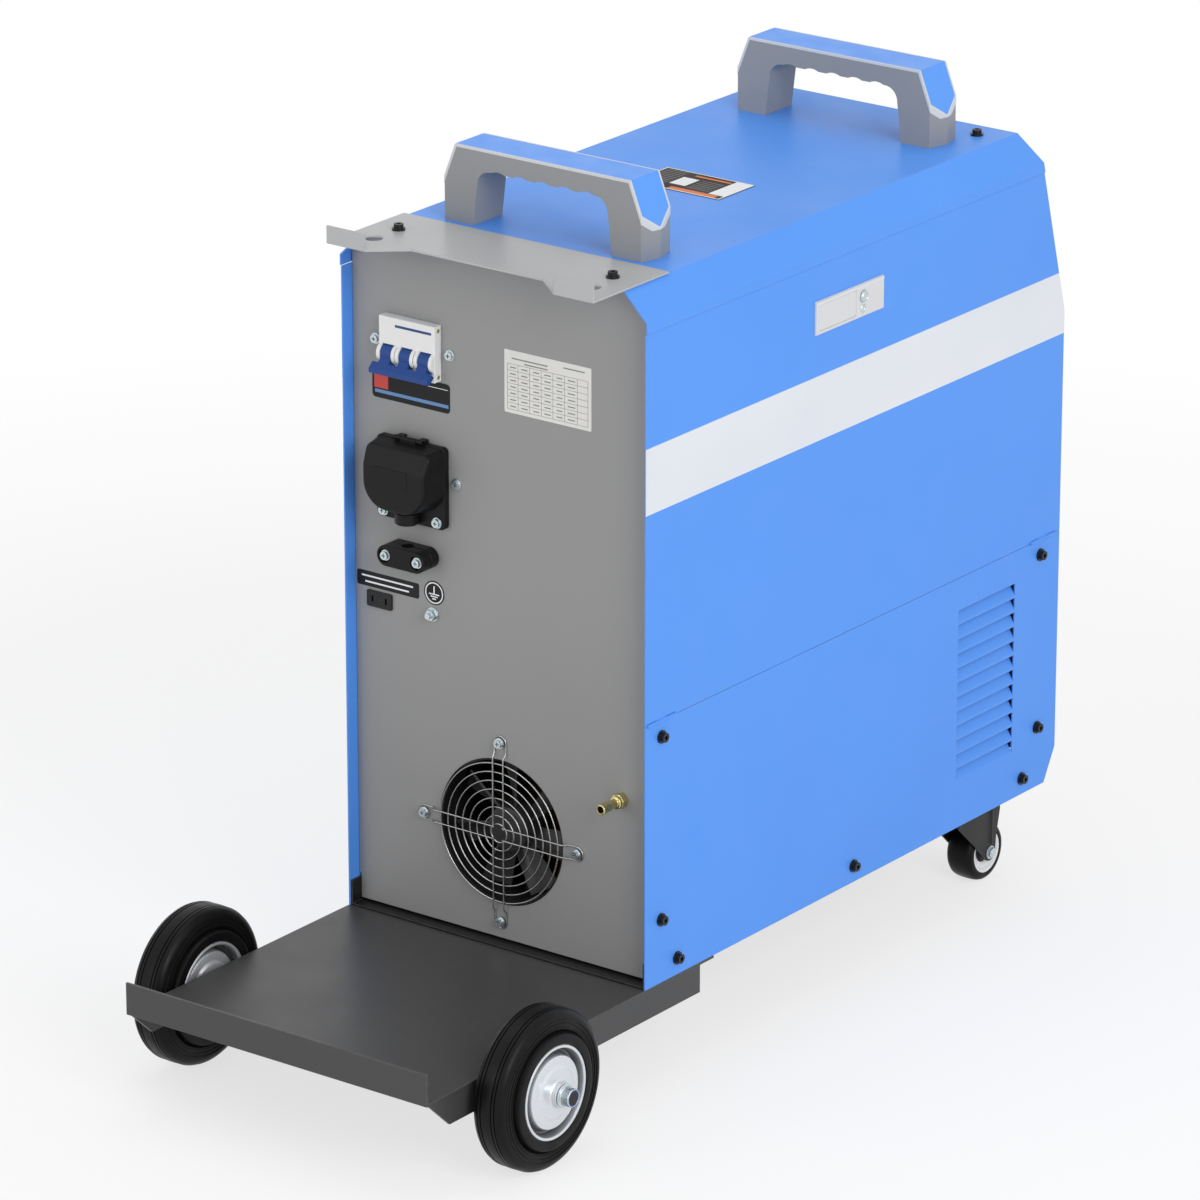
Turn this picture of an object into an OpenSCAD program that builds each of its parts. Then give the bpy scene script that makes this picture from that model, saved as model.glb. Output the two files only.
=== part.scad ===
// MIG welding power source on a two-wheel gas bottle cart.
// Millimetres, +Z up, front towards -Y. The origin lies on the floor, under the middle of the whole length.
// Heights h are taken from the deck, the plane on which the case stands, and depths d run from the
// rear edge of the side panels towards the front.

/* [Case] */
// Width over the side panels
case_w = 290; // [282:1:310]
// Length of the side panels, rear edge to front edge
case_len = 564; // [545:1:600]
// Height of the side panels
case_h = 525.4; // [515:0.2:560]
// Height at which the front starts to lean back
slope_h = 402.9; // [390:0.1:415]
// How far the top of the front edge leans back
slope_run = 33.4; // [25:0.1:45]
// Height of the cut-off toe at the foot of the side panels
toe_h = 27.8; // [15:0.1:40]
// Length of the cut-off toe
toe_run = 15.3; // [8:0.1:18]
// Skin thickness of the side panels and the roof
skin = 1.2; // [1:0.1:1.6]
// Thickness of the end panels, the pan and the inner walls
plate = 1.5; // [1.2:0.1:2]
// How far the end panels sit inside the ends of the side panels
recess = 12; // [10:0.5:14]
// Height of the up-turned edges of the base pan
pan_edge = 21; // [18:0.5:24]
// Height of the seam between the louvred side panel and the door
seam_h = 215; // [213:1:225]
// Width of the seam
seam_gap = 0.4; // [0.3:0.1:0.6]

/* [Roof] */
// Height of the flat of the roof
roof_h = 556.5; // [551:0.5:566]
// Height of the lower edge of the roof skirt above the side panels
skirt_gap = 0.5; // [0.4:0.1:0.8]
// Height of the upright part of the roof skirt
skirt = 8.6; // [7:0.2:10]
// How far the skirt stands out past the side panels
skirt_proud = 1; // [0.6:0.1:1.5]

/* [Handles] */
// Height of a handle above the roof
handle_h = 62; // [58:0.5:70]
// Half the length of a handle at its feet, out to the ridge
handle_half = 98.5; // [94:0.5:102]
// Half the length of the flat top of a handle
handle_top_half = 83; // [78:0.5:86]
// Width of a handle along the machine
handle_w = 37; // [32:0.5:40]
// Height at which the ends of a handle start to lean in
handle_shoulder = 29.5; // [25:0.5:34]
// Half the length of the finger gap
grip_half = 66; // [60:0.5:68]
// Height of the finger gap
grip_gap = 44.5; // [40:0.5:46]
// Middle of the rear handle, from the rear edge
rear_handle_d = 81; // [80:0.5:95]
// Middle of the front handle, from the rear edge
front_handle_d = 461.5; // [420:0.5:470]

/* [Bottle bracket] */
// Half the width of the bracket
bracket_half = 126; // [122:0.5:130]
// How far the ears of the bracket reach behind the case
bracket_reach = 40; // [36:0.5:48]
// How far the bracket reaches forward on the roof
bracket_grip = 54; // [48:0.5:56]
// Height of the up-turned ends of the ears
ear_lip = 14; // [10:0.5:18]
// Radius of the chain hole in each ear
chain_hole_r = 7.5; // [6:0.1:9]

/* [Tray and wheels] */
// Height of the deck above the floor
deck_z = 81; // [80:0.5:90]
// How far the tray reaches behind the case
tray_reach = 269; // [245:1:290]
// How far the side flanges of the tray run forward under the case
tray_tuck = 71.3; // [60:0.5:85]
// Thickness of the tray sheet
tray_t = 2; // [1.5:0.1:3]
// Height of the up-turned rear lip
tray_lip = 24; // [18:0.5:30]
// Depth of the down-turned side flanges
tray_flange = 25; // [24:0.5:30]
// Diameter of the rear wheels
wheel_d = 127; // [120:0.5:132]
// Distance of the axle behind the case
axle_back = 162.5; // [150:0.5:180]
// Width over the beads of a rear tyre
bead_w = 36; // [34:0.5:40]
// Width of the tread of a rear tyre
tread_w = 29; // [26:0.5:31]
// Radius of the rear rim
rim_r = 37.5; // [36:0.5:40]
// Radius of the axle
axle_r = 6; // [5:0.1:6.5]
// Gap between the tray and a rear wheel
wheel_gap = 2.6; // [2:0.1:5]
// Running clearance of wheels, hinges and rolls, on the radius
run_gap = 0.05; // [0.02:0.01:0.08]

/* [Casters] */
// Diameter of a caster wheel
caster_d = 51; // [48:0.5:54]
// Width of a caster wheel
caster_w = 25; // [22:0.5:27]
// Distance of a caster from the middle plane
caster_x = 104; // [95:0.5:108]
// Distance of the swivel pins from the rear edge
caster_d_pos = 490; // [470:0.5:495]
// Trail of a caster
trail = 20; // [16:0.5:24]

/* [Rear panel fittings] */
// Middle of the breaker across the panel
breaker_x = 85; // [80:0.5:90]
// Height of the middle of the breaker
breaker_h = 469.2; // [466:0.2:474]
// Width of the breaker
breaker_w = 54; // [52:0.5:56]
// Height of the breaker's raised face
breaker_face = 45; // [43:0.5:46]
// How far the raised face stands out of the panel
breaker_proud = 8; // [6:0.5:10]
// Middle of the terminal box across the panel
box_x = 84; // [82:0.5:87]
// Drop from the breaker's middle to the lower edge of the terminal box base
box_drop = 140.2; // [138:0.2:143]
// Width and height of the terminal box base
box_w = 66; // [64:0.5:68]
// Depth of the terminal box with its lid closed
box_depth = 28; // [26:0.5:32]
// Drop from that edge to the middle of the cable clamp
clamp_drop = 26; // [24:0.5:30]
// Radius of the cable bore in the clamp
clamp_bore_r = 5; // [4:0.1:5.5]
// Height of the middle of the fan
fan_h = 91.3; // [90:0.1:94]
// Middle of the fan across the panel
fan_x = 2.5; // [0:0.1:5]
// Side of the square fan frame
fan_side = 120; // [118:0.5:121]
// Depth of the fan frame
fan_depth = 38; // [25:0.5:39]
// Middle of the gas inlet across the panel
gas_x = -114; // [-118:0.5:-110]
// Height of the gas inlet
gas_h = 146; // [140:0.5:155]

/* [Door latch] */
// Rear end of the latch plate, from the rear edge
latch_d = 215.5; // [205:0.5:225]
// Length of the latch plate
latch_len = 90.5; // [86:0.5:94]
// Height of the latch plate
latch_tall = 27; // [25:0.5:29]
// Height of the middle of the latch plate
latch_h = 483.3; // [478:0.1:486]
// How far the latch plate stands out of the door
latch_proud = 2.5; // [2:0.1:3]

/* [Wire feeder] */
// Radius of the wire spool
spool_r = 135; // [125:1:138]
// Width of the wire spool
spool_w = 103; // [95:1:104]
// Height of the spool spindle
spool_h = 346; // [342:1:356]
// Distance of the spool spindle from the rear edge
spool_d = 190; // [175:1:200]
// Radius of the drive roll
drive_r = 15; // [13:0.5:16]
// Thickness of the wire that is fed
wire_d = 1; // [0.8:0.1:1.6]

/* [Front fittings] */
// How far the torch socket stands out past the side panels
front_reach = 24; // [18:0.5:30]
// Radius of the bore in the torch socket
torch_bore_r = 4.5; // [4:0.1:5]
// Radius of the bores in the output sockets
output_bore_r = 6.5; // [6:0.1:7]

/* [Hidden] */
$fn = 48;

BLUE = "#649df0";
GREY = "#8f9296";
BLACK = "#202124";
ZINC = "#c9ccd0";
STEEL = "#9a9da1";
BRASS = "#c9a24a";
COPPER = "#b87333";

// Places of the case in the row frame
rear_y = (case_len + front_reach - tray_reach) / 2;
function fy(d) = rear_y - d;
function hz(h) = deck_z + h;
function at(d, h) = [fy(d), hz(h)];

eps = 0.3;                          // least gap between bodies that move apart
half = case_w / 2;
inner = half - skin;                // inner face of the side panels
half_in = inner - eps;              // side faces of the pan and the end panels
skirt_half = half + skirt_proud;
skirt_low = case_h + skirt_gap;
skirt_top = skirt_low + skirt;
chamfer = roof_h - skirt_top;
roof_half = skirt_half - chamfer;   // half width of the flat of the roof
roof_under = roof_h - skin;
slope_a = atan2(slope_run, case_h - slope_h);
rear_face = fy(recess);             // outer face of the rear panel
front_d = case_len - recess;        // depth of the outer face of the front panel
front_h = slope_h - recess * tan(slope_a / 2);
front_top_d = front_d - (roof_under - front_h) * tan(slope_a);
slope_len = (roof_under - front_h) / cos(slope_a);
shelf_h = seam_h - 17;
wall_x = -25;                       // power side of the divider wall
bay_x = wall_x - plate;             // feeder side of the divider wall
screw_r = 2.4;
hole_r = 2.7;
seat_r = 5.2;

side_outline = [at(0, 0), at(0, case_h), at(case_len - slope_run, case_h),
                at(case_len, slope_h), at(case_len, toe_h), at(case_len - toe_run, 0)];

// Screw places on the sides: depth from the rear edge, height
side_screw_d = 20;
side_screw_front = case_len - 28;
lower_screws = [[side_screw_d, 202], [side_screw_d, 52.5], [side_screw_front, 202],
                [side_screw_front, 52.5], [41, 14], [276.5, 14], [case_len - 49, 14]];
slope_screw_h = 480;
slope_screw_d = side_screw_front - (slope_screw_h - front_h) * tan(slope_a) + 3;
upper_screws = [[side_screw_d, 380], [side_screw_d, 500], [side_screw_front, 380],
                [slope_screw_d, slope_screw_h]];
roof_screw_x = 101.5;
roof_screw_rear = 16.5;
roof_screw_front = front_top_d - 12;
top_flange = 26;                    // lip of the front panel under the roof
tray_screws = [for (x = [-100, 100], d = [24, 44]) [x, d]];
tongue_z = deck_z - eps;            // top of the tray's tongue under the case
tongue_end = 0.5;                   // how far behind the case the tongue ends

// Outline in Y and Z, extruded along X from x
module yz(x, t) { translate([x, 0, 0]) rotate([90, 0, 90]) linear_extrude(t) children(); }
// Outline in X and Z, extruded along Y from y
module xz(y, t) { translate([0, y + t, 0]) rotate([90, 0, 0]) linear_extrude(t) children(); }
// Box from its lowest to its highest corner
module block(a, b) { translate(a) cube([b[0] - a[0], b[1] - a[1], b[2] - a[2]]); }
// Box in X, depth and height: d0 is the rear end and d1 the front end
module case_box(x0, x1, d0, d1, h0, h1) { block([x0, fy(d1), hz(h0)], [x1, fy(d0), hz(h1)]); }
// Cylinders along each axis, from a start point
module rod_x(p, r, l) { translate(p) rotate([0, 90, 0]) cylinder(r = r, h = l); }
module rod_y(p, r, l) { translate([p[0], p[1] + l, p[2]]) rotate([90, 0, 0]) cylinder(r = r, h = l); }
module rod_z(p, r, l) { translate(p) cylinder(r = r, h = l); }
module both_sides() { for (m = [0, 1]) mirror([m, 0, 0]) children(); }
// Child's +Z points out of the leaning part of the front, its +Y up the lean
module on_slope(x, s) {
    translate([0, fy(front_d), hz(front_h)]) rotate([90 - slope_a, 0, 0]) translate([x, s, 0]) children();
}
// Closed outline from the points of its upper half
function both_halves(p) = concat(p, [for (i = [len(p) - 1:-1:0]) [p[i][0], -p[i][1]]]);
// Rectangle with round corners
module round_rect(w, h, r) {
    square([w - 2 * r, h], center = true);
    square([w, h - 2 * r], center = true);
    for (x = [-1, 1], y = [-1, 1]) translate([x * (w / 2 - r), y * (h / 2 - r)]) circle(r);
}
// Screw with a flange under its head, seated at z = 0, its shank pointing down
module flange_screw(length) {
    difference() {
        union() {
            cylinder(r = seat_r, h = 1.4);
            cylinder(r = 3.8, h = 4.8);
        }
        translate([0, 0, 2.6]) cylinder(r = 1.9, h = 3, $fn = 6);
    }
    translate([0, 0, -length]) cylinder(r = screw_r, h = length + 0.1);
}
// Pan head screw with a washer, seated at z = 0, its shank pointing down
module pan_screw(length) {
    cylinder(r = 4.4, h = 0.9);
    difference() {
        cylinder(r = 3.3, h = 3.4);
        translate([0, 0, 2.4]) for (a = [0, 90]) rotate([0, 0, a]) cube([3.6, 0.8, 2.4], center = true);
    }
    translate([0, 0, -length]) cylinder(r = 1.9, h = length + 0.1);
}
module rear_screw(x, h, proud, length) {
    translate([x, rear_face + proud, hz(h)]) rotate([-90, 0, 0]) pan_screw(length);
}
module rear_hole(x, h, r) { rod_y([x, rear_face - plate - 1, hz(h)], r, plate + 2); }

// ---------------------------------------------------------------- case

pan_front = front_d - 6;
pan_rear = 1;

module base_pan() color(BLACK) difference() {
    union() {
        case_box(-half_in, half_in, pan_rear, pan_front, 0, plate);
        both_sides() case_box(half_in - plate, half_in, pan_rear, pan_front, 0, pan_edge);
        case_box(-half_in, half_in, pan_front - plate, pan_front, 0, pan_edge);
    }
    for (s = lower_screws) if (s[1] < pan_edge) rod_x([-half, fy(s[0]), hz(s[1])], hole_r, case_w);
    for (p = tray_screws) rod_z([p[0], fy(p[1]), hz(-1)], hole_r, plate + 2);
    both_sides() for (p = caster_bolts)
        rod_z([caster_x + p[0], fy(caster_d_pos) + p[1], hz(-1)], hole_r, plate + 2);
}

rear_foot = 3.5;
flange_w = 18;
// Line of the roof chamfer's underside: half width plus height, less the fitting gap
roof_line = skirt_half + skirt_top - skin * sqrt(2) - eps;
fan_pcd_r = 74.1 * fan_side / 120;
fan_open_r = fan_side / 2;
breaker_screw_x = 36;
clamp_pitch = 31;
box_h = breaker_h - box_drop;
clamp_h = box_h - clamp_drop;
terminal_screws = [[box_x + 26, box_h + 5.5, 6], [box_x - 26, box_h + 5.5, 6],
                   [box_x - box_w / 2 - 7.5, box_h + 38, 0]];
heater_x = 119.5;
heater_h = clamp_h - 46;
earth_x = 67.5;
earth_h = clamp_h - 46.5;

module rear_outline() polygon([
    [-half_in, hz(pan_edge + 3)], [-half_in, hz(roof_line - half_in)],
    [-(roof_line - roof_under), hz(roof_under)], [roof_line - roof_under, hz(roof_under)],
    [half_in, hz(roof_line - half_in)], [half_in, hz(pan_edge + 3)],
    [half_in - plate - eps, hz(pan_edge + 3)], [half_in - plate - eps, hz(rear_foot)],
    [-(half_in - plate - eps), hz(rear_foot)], [-(half_in - plate - eps), hz(pan_edge + 3)]]);

module rear_panel() color(GREY) difference() {
    union() {
        xz(rear_face - plate, plate) rear_outline();
        both_sides() case_box(half_in - plate, half_in, recess + plate - 0.1, recess + flange_w,
                              pan_edge + 3, roof_line - half_in - 2);
        case_box(-(roof_line - roof_under), roof_line - roof_under, recess + plate - 0.1,
                 recess + flange_w + 8, roof_under - plate, roof_under);
    }
    rear_hole(fan_x, fan_h, fan_open_r);
    for (a = [0:90:270]) rear_hole(fan_x + fan_pcd_r * cos(a), fan_h + fan_pcd_r * sin(a), 2.2);
    translate([breaker_x, rear_face, hz(breaker_h)])
        cube([breaker_w + 0.4, 3 * plate, breaker_face + 0.4], center = true);
    for (s = [-1, 1]) rear_hole(breaker_x + s * breaker_screw_x, breaker_h, 2.2);
    for (s = [-1, 1]) rear_hole(box_x + s * clamp_pitch / 2, clamp_h, 2.2);
    for (t = terminal_screws) rear_hole(t[0], t[1], 2.2);
    rear_hole(box_x, box_h + 44, 12);
    translate([heater_x, rear_face, hz(heater_h)]) cube([20.6, 3 * plate, 9.6], center = true);
    rear_hole(earth_x, earth_h, 2.7);
    rear_hole(gas_x, gas_h, 4.2);
    for (s = concat(lower_screws, upper_screws)) if (s[0] < 30 && s[1] > pan_edge)
        rod_x([-half, fy(s[0]), hz(s[1])], hole_r, case_w);
    for (x = [-1, 1]) rod_z([x * roof_screw_x, fy(roof_screw_rear), hz(roof_under - 4)], hole_r, 6);
}

// Height of the lower edge of the front panel
front_foot = pan_edge + 1;
torch_x = -58;
torch_h = 265.5;
output_x = 70;
output_h = 75;
knob_x = 62;
knob_s = 46;
button_s = 40;
button_r = 5;
shaft_r = 3;

module front_strip(from_h, depth0, depth1) {
    inset = depth1 * tan(slope_a / 2);
    outset = depth0 * tan(slope_a / 2);
    top = roof_under;
    polygon([at(front_d - depth0, from_h), at(front_d - depth0, front_h - outset),
             at(front_top_d - depth0 / cos(slope_a), top), at(front_top_d - depth1 / cos(slope_a), top),
             at(front_d - depth1, front_h - inset), at(front_d - depth1, from_h)]);
}

module front_panel() color(GREY) difference() {
    union() {
        intersection() {
            yz(-half_in, 2 * half_in) front_strip(front_foot, 0, plate);
            roof_prism();
        }
        both_sides() intersection() {
            yz(half_in - plate, plate) front_strip(pan_edge + 3, plate - 0.1, plate + flange_w);
            roof_prism();
        }
        case_box(-(roof_line - roof_under), roof_line - roof_under, front_top_d - top_flange,
                 front_top_d - plate, roof_under - plate, roof_under);
    }
    rod_y([torch_x, fy(front_d) - 1, hz(torch_h)], 16.5, plate + 2);
    both_sides() rod_y([output_x, fy(front_d) - 1, hz(output_h)], 14.5, plate + 2);
    for (s = [-1, 1]) on_slope(s * knob_x, knob_s) translate([0, 0, -5]) cylinder(r = shaft_r + 1, h = 10);
    on_slope(0, button_s) translate([0, 0, -5]) cylinder(r = button_r + 1, h = 10);
    for (s = concat(lower_screws, upper_screws)) if (s[0] > case_len / 2 && s[1] > pan_edge)
        rod_x([-half, fy(s[0]), hz(s[1])], hole_r, case_w);
    for (x = [-1, 1]) rod_z([x * roof_screw_x, fy(roof_screw_front), hz(roof_under - 4)], hole_r, 6);
}

// The space under the roof, for trimming what reaches up to it
module roof_prism() {
    reach = roof_line - roof_under;
    xz(fy(case_len), case_len) polygon([[-half_in, hz(0)], [-half_in, hz(roof_line - half_in)],
        [-reach, hz(roof_under)], [reach, hz(roof_under)],
        [half_in, hz(roof_line - half_in)], [half_in, hz(0)]]);
}

module side_screw_holes(list) { for (s = list) rod_x([-half - 1, fy(s[0]), hz(s[1])], hole_r, case_w + 2); }

module plain_side_panel() color(BLUE) difference() {
    yz(inner, skin) polygon(side_outline);
    side_screw_holes(concat(lower_screws, upper_screws));
}

louvre_count = 12;
louvre_pitch = 12.35;
louvre_top = 187.3;
louvre_open = 10;
louvre_len = 81;
louvre_d = 419.5;
louvre_lean = 32;

// Hinges at the two ends of the seam
knuckle_r = 1.5;
knuckle_l = 12;
hinge_pin_r = 0.7;
hinge_starts = [2, case_len - 43];
hinge_point = [-half, hz(seam_h)];

// One knuckle along the seam, counted from the rear end of a hinge
module knuckle(start, index, r, grow = 0) {
    rod_y([hinge_point[0], fy(start + (index + 1) * knuckle_l) + 0.1 - grow, hinge_point[1]], r,
        knuckle_l - 0.2 + 2 * grow);
}

// Blade that leans in from the lower edge of its opening
module louvre_blade(h) {
    across = louvre_open * sin(louvre_lean);
    up = louvre_open * cos(louvre_lean);
    xz(fy(louvre_d + louvre_len) + 0.2, louvre_len - 0.4) polygon([
        [-half, hz(h - 1)], [-half, hz(h)], [across - half, hz(h + up)],
        [across - half + skin * cos(louvre_lean), hz(h + up - skin * sin(louvre_lean))],
        [-inner, hz(h - skin * tan(louvre_lean / 2))], [-inner, hz(h - 1)]]);
}

module louvre_side_panel() color(BLUE) {
    difference() {
        union() {
            yz(-half, skin) intersection() {
                polygon(side_outline);
                translate(at(case_len, 0)) square([case_len, seam_h - seam_gap / 2]);
            }
        }
        side_screw_holes(lower_screws);
        for (i = [0:louvre_count - 1])
            case_box(-half - 1, -inner + 1, louvre_d, louvre_d + louvre_len,
                     louvre_top - i * louvre_pitch - louvre_open, louvre_top - i * louvre_pitch);
        for (s = hinge_starts) knuckle(s, 1, knuckle_r + eps, 0.2);
    }
    for (i = [0:louvre_count - 1]) louvre_blade(louvre_top - i * louvre_pitch - louvre_open);
    for (s = hinge_starts) {
        knuckle(s, 0, knuckle_r);
        knuckle(s, 2, knuckle_r);
        rod_y([hinge_point[0], fy(s + 3 * knuckle_l) + 0.4, hinge_point[1]], hinge_pin_r,
            3 * knuckle_l - 0.8);
    }
}

hose_up_d = front_d - 38;
shelf_front = side_screw_front - 8;
wall_rear = recess + plate + fan_depth + 5;
wall_front = front_top_d - 10;

module divider_wall() color(STEEL) difference() {
    union() {
        case_box(bay_x, wall_x, wall_rear, wall_front, plate, roof_under - 0.2);
        case_box(bay_x, wall_x + 14, wall_rear, wall_front, roof_under - plate - 0.2, roof_under - 0.2);
        case_box(bay_x, wall_x + 14, wall_rear, wall_front, plate, 2 * plate);
        case_box(-half_in, bay_x, wall_rear, shelf_front, shelf_h, shelf_h + plate);
        case_box(-half_in, -half_in + plate, wall_rear, shelf_front, shelf_h, shelf_h + 14);
    }
    // Notch for the front panel's lip
    case_box(bay_x - 1, half_in, front_top_d - top_flange - 1, wall_front + 1, roof_under - plate - eps,
        roof_h);
    rod_x([bay_x - 1, fy(drive_d), hz(drive_h)], motor_neck_r + 0.3, plate + 2);
    rod_z([gas_x, fy(hose_up_d), hz(shelf_h - 1)], hose_r + 1.5, plate + 2);
}

module roof_cover() color(BLUE) difference() {
    xz(fy(case_len), case_len) polygon([
        [-skirt_half, hz(skirt_low)], [-skirt_half, hz(skirt_top)], [-roof_half, hz(roof_h)],
        [roof_half, hz(roof_h)], [skirt_half, hz(skirt_top)], [skirt_half, hz(skirt_low)],
        [skirt_half - skin, hz(skirt_low)], [skirt_half - skin, hz(skirt_top - skin * tan(22.5))],
        [roof_half - skin * tan(22.5), hz(roof_under)], [-(roof_half - skin * tan(22.5)), hz(roof_under)],
        [-(skirt_half - skin), hz(skirt_top - skin * tan(22.5))], [-(skirt_half - skin), hz(skirt_low)]]);
    // The front edge leans back with the side panels
    translate([-case_w, fy(case_len - slope_run), hz(case_h)]) rotate([-slope_a, 0, 0])
        translate([0, -case_len, -case_len]) cube([2 * case_w, case_len, 2 * case_len]);
    for (x = [-1, 1], d = [roof_screw_rear, roof_screw_front])
        rod_z([x * roof_screw_x, fy(d), hz(roof_under - 1)], hole_r, skin + 2);
}

module cover_screws() color(BLACK) {
    for (s = lower_screws) translate([-half, fy(s[0]), hz(s[1])]) rotate([0, -90, 0]) flange_screw(9);
    for (s = concat(lower_screws, upper_screws))
        translate([half, fy(s[0]), hz(s[1])]) rotate([0, 90, 0]) flange_screw(9);
    for (x = [-1, 1]) {
        translate([x * roof_screw_x, fy(roof_screw_rear), hz(roof_h + plate)]) flange_screw(9);
        translate([x * roof_screw_x, fy(roof_screw_front), hz(roof_h)]) flange_screw(8);
    }
    for (p = tray_screws) translate([p[0], fy(p[1]), tongue_z - tray_t]) rotate([180, 0, 0])
        flange_screw(8);
    both_sides() for (p = caster_bolts)
        translate([caster_x + p[0], fy(caster_d_pos) + p[1], hz(-caster_plate_t)]) rotate([180, 0, 0])
            flange_screw(9);
}

// ---------------------------------------------------------------- roof fittings

bracket_ear_x = 89;
bracket_mid_x = 62;
bracket_mid = 18;

module bottle_bracket() color("#b9bbbd") difference() {
    union() {
        translate([0, 0, hz(roof_h)]) linear_extrude(plate) polygon([
            [-bracket_half, fy(bracket_grip)], [bracket_half, fy(bracket_grip)],
            [bracket_half, fy(-bracket_reach)], [bracket_ear_x, fy(-bracket_reach)],
            [bracket_mid_x, fy(-bracket_mid)], [-bracket_mid_x, fy(-bracket_mid)],
            [-bracket_ear_x, fy(-bracket_reach)], [-bracket_half, fy(-bracket_reach)]]);
        both_sides() case_box(bracket_ear_x, bracket_half, -bracket_reach, plate - bracket_reach, roof_h,
            roof_h + ear_lip);
    }
    both_sides() {
        rod_z([103, fy(-12), hz(roof_h - 1)], chain_hole_r, plate + 2);
        rod_z([roof_screw_x, fy(roof_screw_rear), hz(roof_h - 1)], hole_r, plate + 2);
    }
}

ridge = 3.5;            // how far the ridge of each foot stands past its corners
inlay_t = 1.2;
rim_t = 1.6;            // grey rim left on each side of the inlay
shoulder_turn = atan2(handle_h - handle_shoulder, handle_half - handle_top_half);
groove_r = 14;
groove_pitch = 21;
groove_depth = 1.6;
gap_corner = 12;

// Outer line of a handle, drawn in by t
function handle_line(t) = [
    [-(handle_half - t / sin(shoulder_turn)), handle_shoulder],
    [-(handle_top_half - t * tan(shoulder_turn / 2)), handle_h - t],
    [handle_top_half - t * tan(shoulder_turn / 2), handle_h - t],
    [handle_half - t / sin(shoulder_turn), handle_shoulder]];

// Plan of a handle, drawn in by t
module handle_plan(t) {
    w = handle_w / 2 - t;
    polygon([[-handle_half + ridge, -w], [-handle_half + t * 0.6, 0], [-handle_half + ridge, w],
             [handle_half - ridge, w], [handle_half - t * 0.6, 0], [handle_half - ridge, -w]]);
}

module handle_at(d) { translate([0, fy(d), hz(roof_h)]) children(); }

module inlay_shape(t, out) {
    intersection() {
        xz(-handle_w, 2 * handle_w) difference() {
            polygon(handle_line(-out));
            polygon(concat([[-(handle_half - inlay_t / sin(shoulder_turn)), -1]], handle_line(inlay_t),
                           [[handle_half - inlay_t / sin(shoulder_turn), -1]]));
        }
        linear_extrude(handle_h + 10) handle_plan(t);
    }
}

module handle_grip(d) color(GREY) handle_at(d) difference() {
    intersection() {
        xz(-handle_w, 2 * handle_w) difference() {
            polygon(concat([[-handle_half, 0]], handle_line(0), [[handle_half, 0]]));
            // Finger gap, narrower at its top corners, with grooves along the grip
            polygon([[-grip_half, -1], [-grip_half + 4, grip_gap - gap_corner],
                [-grip_half + 4 + gap_corner, grip_gap], [grip_half - 4 - gap_corner, grip_gap],
                [grip_half - 4, grip_gap - gap_corner], [grip_half, -1]]);
            for (s = [-1, 1]) translate([s * (grip_half - 4 - gap_corner), grip_gap - gap_corner])
                circle(gap_corner);
            for (i = [-2:2]) translate([i * groove_pitch, grip_gap + groove_depth - groove_r])
                circle(groove_r);
        }
        linear_extrude(handle_h + 10) handle_plan(0);
    }
    inlay_shape(rim_t, 1);
}
module rear_handle_grip() { handle_grip(rear_handle_d); }
module front_handle_grip() { handle_grip(front_handle_d); }
module handle_inlays() color(BLUE)
    for (d = [rear_handle_d, front_handle_d]) handle_at(d) inlay_shape(rim_t + 0.05, 0);

// ---------------------------------------------------------------- rear panel fittings

toggle_y = rear_face + breaker_proud - 4;
toggle_h = breaker_h - 7.2;
toggle_r = 7.5;
toggle_w = 10.4;
toggle_pin_r = 1.5;
toggle_pitch = breaker_w / 3;
toggle_droop = 40;
toggle_gap = 0.8;

module breaker_body() color("#e4e3e1") {
    difference() {
        union() {
            translate([breaker_x - breaker_w / 2, rear_face - plate - 0.1,
                hz(breaker_h - breaker_face / 2)])
                cube([breaker_w, breaker_proud + plate + 0.1, breaker_face]);
            translate([breaker_x - breaker_w / 2, rear_face - plate - 56, hz(breaker_h - 41)])
                cube([breaker_w, 56, 80]);
        }
        for (i = [-1:1])
            rod_x([breaker_x + i * toggle_pitch - toggle_w / 2 - 0.4, toggle_y, hz(toggle_h)],
                  toggle_r + toggle_gap, toggle_w + 0.8);
    }
    rod_x([breaker_x - breaker_w / 2 + 2, toggle_y, hz(toggle_h)], toggle_pin_r, breaker_w - 4);
}

// Three levers joined by a tie bar, in the off position
module breaker_toggle() color("#264b8c") translate([breaker_x, toggle_y, hz(toggle_h)]) difference() {
    union() {
        for (i = [-1:1]) {
            rod_x([i * toggle_pitch - toggle_w / 2, 0, 0], toggle_r, toggle_w);
            rotate([-toggle_droop, 0, 0])
                block([i * toggle_pitch - toggle_w / 2 + 0.3, 4, -2.6],
                    [i * toggle_pitch + toggle_w / 2 - 0.3, 15, 1.8]);
        }
        rotate([-toggle_droop, 0, 0]) yz(-breaker_w / 2 - 1.7, breaker_w + 3.4)
            polygon([[11, -3.4], [19, -3.4], [20.5, -0.5], [19, 2.2], [11, 2.2]]);
    }
    rod_x([-breaker_w, 0, 0], toggle_pin_r + run_gap, 2 * breaker_w);
}

label_t = 0.4;
module rear_label(x, h, size, r) {
    translate([x, rear_face, hz(h)]) rotate([-90, 0, 0])
        linear_extrude(label_t) round_rect(size[0], size[1], r);
}

rating = [82.3, 49.8];              // width and height of each label
rating_at = [-44, 459.9];
breaker_label = [75.5, 23.2];
breaker_label_drop = 35.6;          // from the breaker's middle down to its label's
heater_label = [61, 12.4];
heater_label_rise = 15;
earth_label_r = 9.8;
earth_label_rise = 17.5;
roof_label = [86, 49];
roof_label_d = 253.5;

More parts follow.
